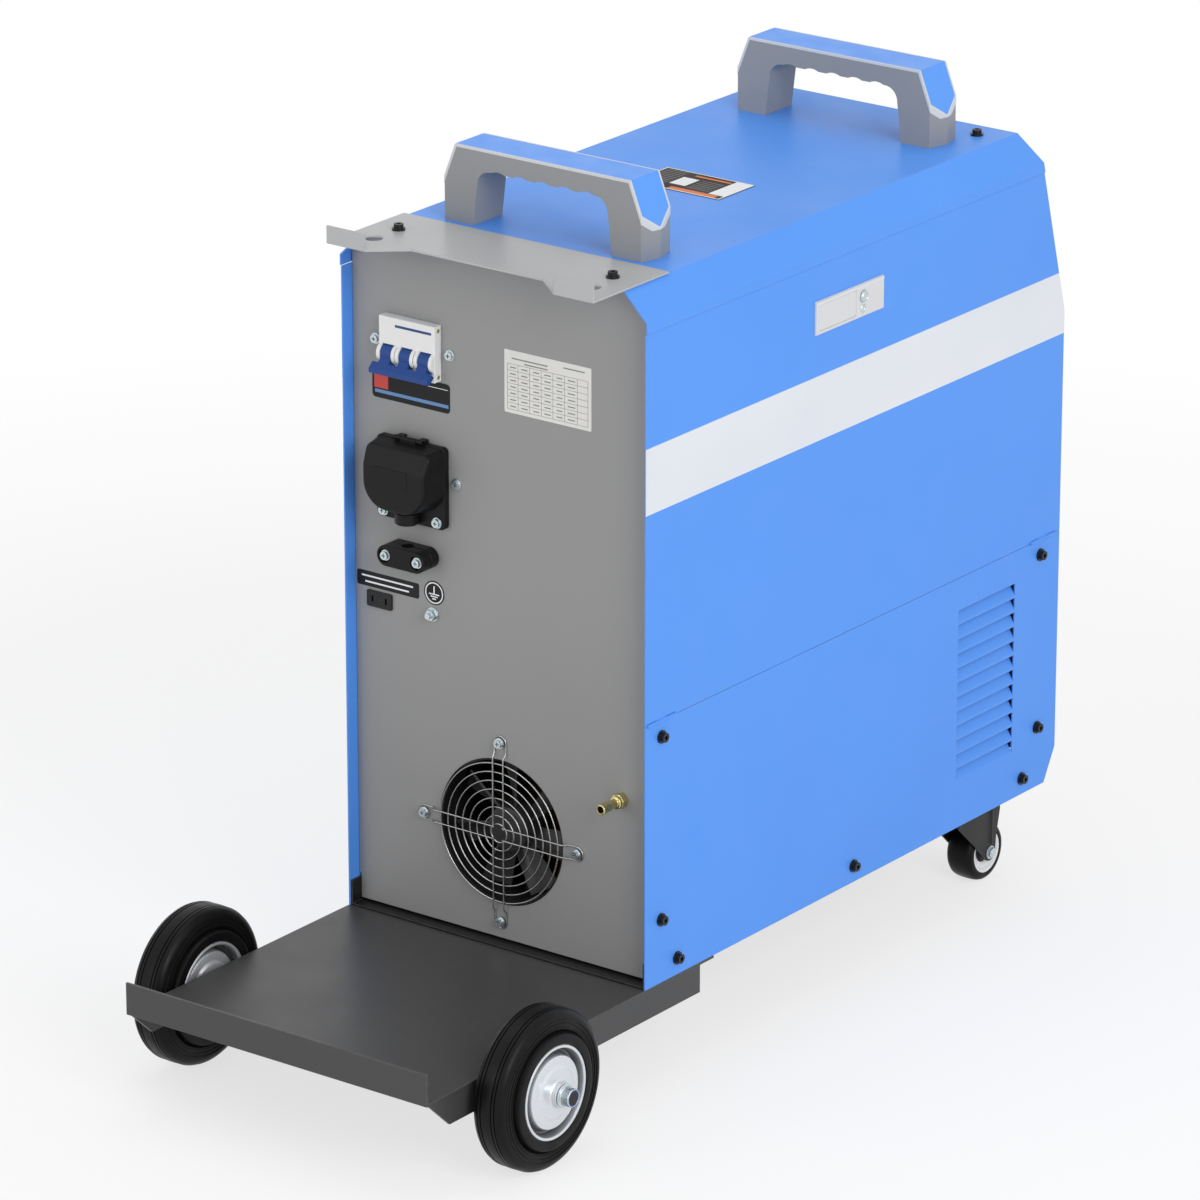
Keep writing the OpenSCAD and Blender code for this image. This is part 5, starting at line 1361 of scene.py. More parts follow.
@dataclass
class Breaker:
    """Three-pole breaker: a bevelled housing with three wells, rivets, and the joined levers."""

    x: float = 85.0
    h: float = 469.2
    width: float = 54.0
    face: float = 45.0
    proud: float = 8.0
    panel: float = PANEL
    back: float = 69.4
    lever_h: float = 462.0
    lever_d: float = 8.0
    pitch: float = 18.0
    drum: float = 7.5
    drum_width: float = 10.4
    droop: float = 40.0
    well: float = 1.2
    cheek_gap: float = 0.35
    cheek_radius: float = 8.4
    well_low: float = 8.5
    well_high: float = 7.6
    body_low: float = 41.0
    body_high: float = 39.0
    body_lap: float = 1.4

    def cheek(self, start: float, width: float, front: float) -> Shape:
        """Makes one of the round cheeks that stand out beside a lever.

        Args:
            start: Its right side.
            width: Its thickness in mm.
            front: Depth of the housing's face.

        Returns:
            The cheek, cut off just behind the face.
        """
        made = drum(at(start, self.lever_d, self.lever_h), Axis.X.vector(), self.cheek_radius, width, 0.5, 48)
        return made.cut(at(0, front + 1.5, 0), Vector((0, -1, 0)))

    def housing(self) -> None:
        """Makes the pale housing with a rounded well round each lever."""
        front, rear = self.panel - self.proud, self.panel + self.body_lap
        left, right = self.x - self.width / 2, self.x + self.width / 2
        low, high = self.h - self.face / 2, self.h + self.face / 2
        reach = self.drum_width / 2 + self.well
        base, lid = self.lever_h - self.well_low, self.lever_h + self.well_high
        wells = [(self.x + i * self.pitch - reach, self.x + i * self.pitch + reach) for i in (1, 0, -1)]
        edges = [right] + [e for a, b in wells for e in (b, a)] + [left]
        made = Shape()
        for a, b in zip(edges[0::2], edges[1::2]):
            made.add(block((b, front, low), (a, rear, high)).bevel(0.7, 3))
        for a, b in wells:
            made.add(block((a - 0.8, front, low), (b + 0.8, rear, base)).bevel(0.7, 3))
            made.add(block((a - 0.8, front, lid), (b + 0.8, rear, high)).bevel(0.7, 3))
            made.add(block((a - 0.8, self.panel - 0.4, base - 1), (b + 0.8, rear, lid + 1)))
        cheek = (self.pitch - self.drum_width) / 2 - 2 * self.cheek_gap
        for a, b in wells:
            for start in (a + self.well - self.cheek_gap - cheek, b - self.well + self.cheek_gap):
                made.add(self.cheek(start, cheek, front))
        body = block((left, rear + 0.1, self.h - self.body_low), (right, self.back, self.h + self.body_high))
        made.add(body.bevel(1.2, 2))
        made.piece("breaker_housing", "case", Palette.BREAKER, "breaker_plastic", ["breaker_body"])
        line = block((left + 3.0, front - 0.12, high - 7.2), (left + 38.0, front + 0.5, high - 5.2))
        line.piece("breaker_line", "case", Palette.INK_NAVY, "toggle_plastic")
        rivets = Shape()
        for side in (-1, 1):
            for level in (low + 4.0, high - 4.0):
                spot = at(self.x + side * (self.width / 2 - 0.3), self.panel - 3.6, level)
                rivets.add(drum(spot, Vector((side, 0, 0)), 1.7, 0.7, 0.2, 24))
        rivets.piece("breaker_rivets", "case", Palette.BRASS, "brass")

    def levers(self) -> None:
        """Makes the three levers and the bar that ties them."""
        pivot = at(self.x, self.lever_d, self.lever_h)
        made, arms = Shape(), Shape()
        w, d, h = self.drum_width / 2, self.lever_d, self.lever_h
        blade = [(d - 4.5, h - 2.4), (d - 13.5, h - 2.4), (d - 13.5, h + 1.8), (d - 4.5, h + 3.4)]
        for i in (-1, 0, 1):
            middle = self.x + i * self.pitch
            made.add(drum(at(middle - w, d, h), Axis.X.vector(), self.drum, 2 * w, 0.5, 48))
            arms.add(prism(blade, Axis.X, middle - w + 0.3, middle + w - 0.3).bevel(0.5, 2))
        bar = [(11.2, -3.3), (18.4, -3.3), (20.2, -1.6), (20.2, -0.2), (18.4, 2.0), (11.2, 2.0)]
        end = self.width / 2 + 1.6
        arms.add(prism([(d - a, h + b) for a, b in bar], Axis.X, self.x - end, self.x + end).bevel(0.7, 3))
        made.add(arms.moved(about(pivot, Matrix.Rotation(math.radians(-self.droop), 4, "X"))))
        made.piece("breaker_levers", "breaker_lever", Palette.TOGGLE, "toggle_plastic", ["breaker_toggle"])

    def build(self) -> None:
        """Makes the breaker."""
        self.housing()
        self.levers()


@dataclass
class TerminalBox:
    """Supply box: a base with its spout, and the shield-shaped lid that hangs from a hinge bar."""

    x: float = 84.0
    low: float = 329.0
    size: float = 66.0
    panel: float = PANEL
    plate: float = 6.0
    depth: float = 28.0
    lid_half: float = 32.9
    lid_foot: float = 11.5
    taper: float = 3.4
    wall: float = 2.0
    brow_h: float = 15.0
    brow_d: float = 6.5
    spout: float = 9.6
    foot_corner: float = 24.0
    top_corner: float = 5.5
    hinge_out: float = 1.5
    hinge_up: float = 1.6
    hinge_radius: float = 2.0
    knuckle: float = 7.2
    top_gap: float = 0.8

    def hinge(self, start: float, length: float) -> Shape:
        """Makes one knuckle on the hinge line.

        Args:
            start: Where it starts across the machine.
            length: Its length in mm.

        Returns:
            The knuckle.
        """
        place = at(start, self.panel - self.plate - self.hinge_out, self.low + self.size + self.hinge_up)
        return drum(place, Axis.X.vector(), self.hinge_radius, length, 0.3, 32)

    def base(self) -> None:
        """Makes the base plate, the spout, the knuckles and the terminals."""
        left, right = self.x - self.size / 2, self.x + self.size / 2
        top = self.low + self.size
        front = self.panel - self.plate
        made = prism(rounded((left, self.low), (right, top), 4.0), Axis.Y, front, self.panel)
        made.bevel(0.8, 3, 40)
        r = self.spout
        collar = [(0, r - 3.6), (0, r - 0.8), (0.8, r), (9.0, r), (9.4, r - 0.4), (9.4, r - 3.6)]
        mouth = at(self.x, self.panel - 10.6, self.low + 1.2)
        made.add(lathe(collar, mouth, Axis.Z.vector(), 64, closed=True))
        axis_d, axis_h = front - self.hinge_out, top + self.hinge_up
        for side in (-1, 1):
            middle = self.x + side * 10.6
            made.add(self.hinge(middle - 3, 6.0))
            lug = block((middle - 3, axis_d, top - 1.0), (middle + 3, self.panel, axis_h + 1.2))
            made.add(lug.bevel(0.3, 2))
        strip = block((self.x - 20, self.panel - 12.0, self.low + 23),
                      (self.x + 20, front + 0.2, self.low + 39))
        made.add(strip.bevel(0.8, 2))
        made.piece("supply_box_base", "case", Palette.SHELL, "black_plastic", ["terminal_base"])
        screws = Shape()
        for i in (-1.5, -0.5, 0.5, 1.5):
            spot = at(self.x + i * 10, self.panel - 11.9, self.low + 31)
            screws.add(drum(spot, REARWARD, 2.0, 2.5, 0.3, 24))
        screws.piece("supply_terminals", "case", Palette.BRASS, "brass")

    def lid_line(self) -> list[Point]:
        """Lists the lid's outline.

        Returns:
            Square shoulders and a foot with wide round corners.
        """
        half, low, top = self.lid_half, self.low + self.lid_foot, self.low + self.size - self.top_gap
        foot, corner = self.foot_corner, self.top_corner
        right = arc((self.x + half - foot, low + foot), foot, 270, 360, 16)
        right += arc((self.x + half - corner, top - corner), corner, 0, 90, 6)
        return right + mirrored(right, self.x)

    def shell(self) -> Shape:
        """Makes the hollow lid: it narrows towards its front, slopes at its brow and is open behind.

        Returns:
            The shell.
        """
        front, back = self.panel - self.depth, self.panel - self.plate - 0.3
        top = self.low + self.size - self.top_gap
        made = prism(self.lid_line(), Axis.Y, back, front)
        centre = at(self.x, 0, self.low + 41)
        narrow = Matrix.Diagonal((1 - self.taper / self.lid_half, 1.0, 1 - self.taper * 0.8 / 30, 1.0))
        face = [v for v in made.bm.verts if v.co.y > at(0, front + 0.1, 0).y]
        bmesh.ops.transform(made.bm, matrix=about(centre, narrow), verts=face)
        slope = Vector((0, self.brow_h, self.brow_d)).normalized()
        made.cut(at(0, front, top - self.taper * 0.6 - self.brow_h), slope).tidy()
        hidden = [f for f in made.bm.faces if f.normal.y < -0.99]
        bmesh.ops.delete(made.bm, geom=hidden, context="FACES")
        rims = [e for e in made.bm.edges if len(e.link_faces) == 2 and e.calc_face_angle(0.0) > 0.3]
        made.round_off(rims, 1.8, 4)
        bmesh.ops.recalc_face_normals(made.bm, faces=made.bm.faces[:])
        if sum(f.normal.y * f.calc_area() for f in made.bm.faces) < 0:
            bmesh.ops.reverse_faces(made.bm, faces=made.bm.faces[:])
        return made.thicken(self.wall)

    def lid(self) -> None:
        """Makes the lid with its knuckle and a raised frame on its front."""
        front, back = self.panel - self.depth, self.panel - self.plate - 0.3
        axis_d, axis_h = self.panel - self.plate - self.hinge_out, self.low + self.size + self.hinge_up
        made = self.shell()
        made.add(self.hinge(self.x - self.knuckle, 2 * self.knuckle))
        made.add(block((self.x - self.knuckle, axis_d - self.hinge_radius, self.low + self.size - 2.4),
                       (self.x + self.knuckle, back, axis_h)).bevel(0.3, 2))
        outer = rounded((self.x - 14, self.low + 33), (self.x + 19, self.low + 49), 1.2, 3)
        inner = rounded((self.x - 13.4, self.low + 33.6), (self.x + 18.4, self.low + 48.4), 0.8, 3)
        made.add(prism(outer, Axis.Y, front - 0.15, front + 0.5).bevel(0.12, 1, 40))
        made.add(prism(inner, Axis.Y, front - 0.4, front + 0.2).bevel(0.12, 1, 40))
        made.piece("supply_box_lid", "terminal_cover", Palette.SHELL, "black_plastic", ["terminal_lid"])

    def build(self) -> None:
        """Makes the box."""
        self.base()
        self.lid()


@dataclass
class CableClamp:
    """Two oblong halves that grip the supply cable, with sunk screw seats."""

    x: float = 84.0
    h: float = 303.0
    long: float = 46.0
    tall: float = 17.0
    panel: float = PANEL
    depth: float = 20.0
    gap: float = 0.5
    bore: float = 5.0
    seat: float = 5.6
    seat_out: float = 15.5

    def outline(self, inset: float = 0.0) -> list[Point]:
        """Lists the oblong outline.

        Args:
            inset: How far it is drawn in.

        Returns:
            Its points.
        """
        r = self.tall / 2 - inset
        reach = (self.long - self.tall) / 2
        right = arc((self.x + reach, self.h), r, -90, 90, 16)
        return right + arc((self.x - reach, self.h), r, 90, 270, 16)

    def build(self) -> None:
        """Makes both halves, each hollowed for the cable, and the shadow line of the seats."""
        front = self.panel - self.depth
        middle = self.panel - self.depth / 2
        made = Shape()
        for start, end in ((front, middle - self.gap / 2), (middle + self.gap / 2, self.panel)):
            made.add(prism(self.outline(), Axis.Y, start, end).bevel(0.9, 3, 40))
        holder = made.piece("cable_clamp_halves", "case", Palette.SHELL, "black_plastic", ["cable_clamp"])
        tool = Shape()
        below = at(self.x, middle, self.h - self.tall)
        tool.add(drum(below, Axis.Z.vector(), self.bore, 2 * self.tall, 0.1, 48))
        for side in (-1, 1):
            seat = at(self.x + side * self.seat_out, front - 1, self.h)
            tool.add(drum(seat, -REARWARD, self.seat, 3.6, 0.1, 40))
        carve(holder, tool)


def carve(piece: bpy.types.Object, tool: Shape) -> None:
    """Cuts a tool's shape out of a piece and applies the cut.

    Args:
        piece: The piece, at rest.
        tool: What goes.
    """
    cutter = placed("tool", tool.mesh("tool"))
    cut = piece.modifiers.new("cut", "BOOLEAN")
    cut.operation, cut.solver, cut.object = "DIFFERENCE", "EXACT", cutter
    cut.use_self = True
    piece.modifiers.remove(piece.modifiers["even_shading"])
    bpy.context.view_layer.update()
    graph = bpy.context.evaluated_depsgraph_get()
    done = bpy.data.meshes.new_from_object(piece.evaluated_get(graph))
    piece.modifiers.clear()
    used = (piece.data, cutter.data)
    piece.data = done
    bpy.data.objects.remove(cutter)
    for mesh in used:
        bpy.data.meshes.remove(mesh)
    sharp = bmesh.new()
    sharp.from_mesh(done)
    sharpen(sharp)
    sharp.to_mesh(done)
    sharp.free()
    even_out(piece)


@dataclass
class FanGuard:
    """Wire guard: rings on four pairs of wires that step back to the panel and loop round the screws."""

    x: float = 2.5
    h: float = 91.3
    panel: float = PANEL
    lift: float = 2.6
    rings: tuple[float, ...] = (7.6, 14.3, 21.4, 28.5, 35.7, 42.8, 50.0, 57.0)
    radius: float = 0.62
    pair: float = 5.0
    arm: float = 62.5
    loop: float = 5.6
    screws: float = 74.1

    def build(self) -> None:
        """Makes the guard."""
        made = Shape()
        centre = at(self.x, self.panel - self.lift, self.h)
        for ring in self.rings:
            section = arc((0.0, ring), self.radius, 0, 330, 11)
            made.add(lathe(section, centre, REARWARD, 96, closed=True))
        back = self.panel - self.radius
        level = self.panel - self.lift - 2 * self.radius
        line = [at(self.x - self.pair, level, self.h + 4), at(self.x - self.pair, level, self.h + self.arm),
                at(self.x - self.loop, back, self.h + self.arm + 3.5)]
        loop = [at(self.x + a, back, self.h + b) for a, b in arc((0.0, self.screws), self.loop, 180, 0, 12)]
        other = [Vector((2 * centre.x - p.x, p.y, p.z)) for p in reversed(line)]
        for quarter in range(4):
            turn = about(centre, Matrix.Rotation(quarter * TURN / 4, 4, "Y"))
            made.add(wire(line + loop + other, self.radius, bend=2.0).moved(turn))
        made.piece("fan_grille", "case", Palette.WIRE, "chrome_wire", ["fan_guard"], crease=50)


@dataclass
class FanRotor:
    """Seven-bladed rotor with a domed hub."""

    x: float = 2.5
    h: float = 91.3
    start: float = 18.4
    hub: float = 19.0
    tip: float = 55.2
    length: float = 26.0
    blades: int = 7
    pitch: float = 38.0
    thickness: float = 1.8

    def blade(self) -> Shape:
        """Makes one blade: a grid bent between the hub and the tip, then given its thickness.

        Returns:
            The blade that stands straight up.
        """
        made = Shape()
        bmesh.ops.create_grid(made.bm, x_segments=8, y_segments=6, size=0.5)
        for vert in made.bm.verts:
            across, out = vert.co.x, vert.co.y + 0.5
            r = self.hub - 1 + (self.tip - self.hub + 1) * out
            chord = 15.5 + 9.5 * out
            twist = math.radians(self.pitch + 12 - 22 * out)
            camber = 2.6 * (1 - 4 * across * across)
            along = chord * across * math.cos(twist) - camber * math.sin(twist) + 5.0 * out
            deep = chord * across * math.sin(twist) + camber * math.cos(twist)
            angle = along / r
            vert.co = at(self.x + r * math.sin(angle), self.start + self.length / 2 + deep,
                         self.h + r * math.cos(angle))
        bmesh.ops.recalc_face_normals(made.bm, faces=made.bm.faces[:])
        return made.thicken(self.thickness)

    def build(self) -> None:
        """Makes the rotor."""
        centre = at(self.x, self.start, self.h)
        r, deep = self.hub, self.length
        hub = [(0, 2.05), (0, 13.0), (-0.6, 14.0), (-0.6, r - 3.0), (-1.4, r - 1.0), (-3.4, r), (-deep, r),
               (-deep, 2.05)]
        made = lathe(hub, centre, REARWARD, 72, closed=True)
        for i in range(self.blades):
            made.add(self.blade().moved(about(centre, Matrix.Rotation(i * TURN / self.blades, 4, "Y"))))
        made.piece("fan_wheel", "fan_rotor", Palette.FAN, "black_plastic", ["fan_impeller"])


@dataclass
class GasInlet:
    """Brass hose tail: a hexagon on the panel, a collar, a barbed tail with an open bore, a nut behind."""

    x: float = -114.0
    h: float = 146.0
    panel: float = PANEL
    length: float = 27.5
    bore: float = 2.9
    nut: float = 6.4

    def build(self) -> None:
        """Makes the inlet."""
        start = at(self.x, self.panel, self.h)
        b, end = self.bore, self.length
        stem = [(-11.5, b), (-11.5, 3.9), (6.0, 3.9), (6.0, 5.2), (8.6, 5.2), (9.2, 4.6), (9.4, 3.6),
                (18.0, 3.5), (18.3, 4.2), (19.0, 4.3), (22.0, 3.6), (22.3, 3.6), (22.6, 4.3), (24.4, 4.3),
                (end - 0.5, 4.1), (end, 3.6), (end, b)]
        made = lathe(stem, start, REARWARD, 48, closed=True)
        for near, far in ((0.0, 6.0), (-6.2, -2.0)):
            ring = [(near, 3.6), (near, self.nut), (far, self.nut), (far, 3.6)]
            made.add(lathe(ring, start, REARWARD, 6, closed=True).bevel(0.45, 2, 25, inside=False))
        made.piece("gas_hose_tail", "case", Palette.BRASS, "brass", ["gas_inlet"])


@dataclass
class Labels:
    """Plates and films without words: ruled lines and plain blocks of colour."""

    panel: float = PANEL
    thickness: float = 0.3
    ink: float = 0.08
    rule: float = 0.15
    columns: tuple[float, ...] = (-82.0, -72.0, -60.0, -49.0, -38.0, -27.0, -16.0, -6.0)
    rows: int = 7
    table: Point = (438.0, 474.0)
    earth: Point = (66.3, 274.0)
    earth_radius: float = 9.8
    roof_thickness: float = 0.35
    roof_film: Box = (-44.0, 229.0, 41.0, 278.0)

    def plate(self, name: str, box: Box, radius: float, finish: Finish) -> None:
        """Makes one film on the rear panel.

        Args:
            name: Name of the piece.
            box: Its left, low, right and high edge.
            radius: Corner radius.
            finish: Its finish.
        """
        made = prism(rounded(box[:2], box[2:], radius), Axis.Y, self.panel - self.thickness, self.panel)
        made.bevel(0.08, 1, 40)
        made.piece(name, "case", finish, "label_film", ["label_plates"])

    def marks(self, name: str, boxes: Sequence[Box], finish: Finish) -> None:
        """Prints plain rectangles on a film of the rear panel.

        Args:
            name: Name of the piece.
            boxes: Left, low, right and high edge of each rectangle.
            finish: The ink.
        """
        made = Shape()
        front = self.panel - self.thickness
        for a, b, c, e in boxes:
            made.add(block((a, front - self.ink, b), (c, front, e)))
        made.piece(name, "case", finish, "label_film")

    def rating_plate(self) -> None:
        """Makes the pale plate with an empty ruled table."""
        self.plate("rating_plate", (-85.1, 435.0, -2.9, 484.8), 1.0, Palette.FILM_PALE)
        (low, high), thin = self.table, self.rule
        rows = [low + (high - low) * i / self.rows for i in range(self.rows + 1)]
        lines = [(self.columns[0], h - thin, self.columns[-1], h + thin) for h in rows]
        lines += [(x - thin, low, x + thin, high) for x in self.columns]
        heads = ((-79, 20, 480.4), (-44, 34, 478.6), (-44, 22, 475.8))
        bars = [(x, h - 0.5, x + w, h + 0.5) for x, w, h in heads]
        for row in rows[:-1]:
            for x, w in zip(self.columns[1:], (7, 5.5, 6, 5.5, 6, 5.5)):
                bars.append((x + 2, row + 2.0, x + 2 + w, row + 2.9))
        self.marks("rating_table", lines + bars, Palette.INK_GREY)

    def breaker_label(self) -> None:
        """Makes the black film with a red block, a pale line and a thin rule."""
        self.plate("breaker_film", (49.5, 422.0, 125.0, 445.3), 3.2, Palette.FILM_BLACK)
        self.marks("breaker_block", [(109.4, 430.0, 122.9, 440.6)], Palette.INK_RED)
        self.marks("breaker_stripe", [(50.9, 426.1, 122.2, 428.8)], Palette.INK_SKY)
        self.marks("breaker_rule", [(51.5, 440.4, 74.0, 440.9)], Palette.INK_WHITE)

    def heater_label(self) -> None:
        """Makes the small black film with two pale rules."""
        self.plate("heater_film", (81.2, 265.8, 142.2, 278.2), 1.8, Palette.FILM_BLACK)
        rules = [(87.0, 273.6, 137.5, 275.0), (91.0, 268.9, 134.0, 270.3)]
        self.marks("heater_rules", rules, Palette.INK_WHITE)

    def earth_label(self) -> None:
        """Makes the round film with a ring and the earth sign."""
        (x, h), r, t = self.earth, self.earth_radius, self.thickness
        centre = at(x, self.panel, h)
        disc = lathe([(0, 0), (0, r), (t, r), (t, 0)], centre, REARWARD, 64)
        disc.piece("earth_film", "case", Palette.FILM_BLACK, "label_film", ["label_plates"])
        line = [(t, r - 2.1), (t, r - 1.1), (t + self.ink, r - 1.1), (t + self.ink, r - 2.1)]
        ring = lathe(line, centre, REARWARD, 64, closed=True)
        ring.piece("earth_ring", "case", Palette.INK_WHITE, "label_film")
        bars = [(x - 0.6, h - 1.0, x + 0.6, h + 5.6)]
        bars += [(x - w, h - 1.6 - i * 1.9, x + w, h - 0.6 - i * 1.9) for i, w in enumerate((5.0, 3.4, 1.8))]
        self.marks("earth_sign", bars, Palette.INK_WHITE)

    def roof_label(self) -> None:
        """Makes the dark film on the roof with a pale edge, grey rules, orange bars and pale blocks."""
        top = ROOF + self.roof_thickness
        left, rear, right, front = self.roof_film
        made = prism(rounded((left, rear), (right, front), 1.5), Axis.Z, ROOF, top).bevel(0.08, 1, 40)
        made.piece("roof_film", "case", Palette.FILM_BROWN, "label_film", ["label_plates"])
        edge = [(left + 0.6, rear + 0.6, right - 0.6, rear + 1.8),
                (left + 0.6, front - 1.8, right - 0.6, front - 0.6),
                (right - 1.8, rear + 1.8, right - 0.6, front - 1.8),
                (left + 0.6, rear + 1.8, left + 1.8, front - 1.8)]
        blocks = [(left + 1.8, rear + 9, left + 16.5, front - 1.8),
                  (right - 42, rear + 14.5, right - 27, front - 15)]
        rules = [(right - 24, rear + 4 + i * 4.0, right - 4, rear + 4.8 + i * 4.0) for i in range(11)]
        rules += [(left + 19, rear + 13 + i * 4.0, right - 45, rear + 13.8 + i * 4.0) for i in range(6)]
        bars = [(left + 6, rear + 1.8, right - 34, rear + 8), (left + 18, front - 9, right - 33, front - 6)]
        groups = {"roof_rules": (Palette.INK_GREY, rules), "roof_bars": (Palette.INK_ORANGE, bars),
                  "roof_blocks": (Palette.INK_WHITE, edge + blocks)}
        for name, (finish, boxes) in groups.items():
            shape = Shape()
            for a, b, c, e in boxes:
                shape.add(prism([(a, b), (c, b), (c, e), (a, e)], Axis.Z, top, top + self.ink))
            shape.piece(name, "case", finish, "label_film")

    def build(self) -> None:
        """Makes every label."""
        self.rating_plate()
        self.breaker_label()
        self.heater_label()
        self.earth_label()
        self.roof_label()


@dataclass
class DoorLatch:
    """Latch in the door: a bevelled frame, the pull paddle and the lock button."""

    d: float = 215.5
    length: float = 90.5
    h: float = 483.3
    tall: float = 27.0
    face: float = -145.0
    proud: float = 2.5
    chamfer: float = 2.0
    button: float = 4.8
    button_up: float = 3.6
    key: float = 3.3
    key_down: float = 6.4
    column: float = 61.5
    well: tuple[float, float, float] = (3.8, 52.4, 10.4)
    play: float = 0.2

    def row(self, shift: float, level: float) -> Vector:
        """Places a button or screw in the latch's column.

        Args:
            shift: How far it starts in front of the door's face in mm.
            level: Its height above the middle in mm.

        Returns:
            The point in metres.
        """
        return at(self.face - shift, self.d + self.column, self.h + level)

    def build(self) -> None:
        """Makes the frame, the paddle, the button and the key screw."""
        x, out = self.face, self.face - self.proud
        low, high = self.h - self.tall / 2, self.h + self.tall / 2
        made = block((out, self.d, low), (x, self.d + self.length, high))
        limit = at(out + 0.1, 0, 0).x
        made.round_off([e for e in made.bm.edges if all(v.co.x < limit for v in e.verts)], self.chamfer, 2)
        made.add(block((x - 0.1, self.d + 3.5, self.h - 11.2),
                       (x + 12.0, self.d + self.length - 3.5, self.h + 11.2)).bevel(0.6, 2))
        plate = made.piece("latch_frame", "feeder_door", Palette.LATCH, "latch_plastic", ["latch_plate"])
        rear, front, half = self.well
        tool = block((x - 5, self.d + rear, self.h - half), (x + 3, self.d + front, self.h + half))
        axis = Axis.X.vector()
        tool.add(drum(self.row(5, self.button_up), axis, self.button + 0.15, 12.0, 0.05, 48))
        tool.add(drum(self.row(5, -self.key_down), axis, self.key + 0.1, 5.0, 0.05, 48))
        carve(plate, tool)
        # A near-white strip over the top chamfer is a painted highlight where the light falls on the frame.
        slope = [(x - 0.4, high + 0.1), (out - 0.1, high - self.chamfer), (out + 0.6, high - self.chamfer),
                 (x - 0.4, high - 0.7)]
        edge = prism(slope, Axis.Y, self.d + 0.5, self.d + self.length - 0.5).bevel(0.1, 2, 24)
        edge.piece("latch_highlight_strip", "feeder_door", Palette.EDGE, "latch_plastic")
        line = rounded((self.d + rear + 0.3, self.h - half + self.play),
                       (self.d + front - 0.3, self.h + half - self.play), 0.6, 3)
        paddle = prism(line, Axis.X, out + 0.1, out + 2.1).bevel(0.45, 3, 40)
        paddle.piece("pull_paddle", "door_paddle", Palette.LATCH, "latch_plastic", ["latch_paddle"])
        r, k = self.button, self.key
        line = [(0, 0), (0, r - 2.0), (0.4, r - 1.6), (0.4, r - 1.0), (0, r - 0.7), (0.3, r - 0.2), (0.9, r),
                (7.0, r), (7.0, 0)]
        cap = lathe(line, self.row(self.proud + 1.6, self.button_up), axis, 64)
        cap.piece("push_button", "lock_button", Palette.ZINC, "zinc", ["latch_button"])
        line = [(0.5, 0), (0.5, 1.0), (0, 1.4), (0, k - 0.8), (0.6, k), (3.0, k), (3.0, 0)]
        screw = lathe(line, self.row(self.proud + 0.4, -self.key_down), axis, 48)
        screw.piece("key_screw", "feeder_door", Palette.ZINC, "zinc")


# ---------------------------------------------------------------- front


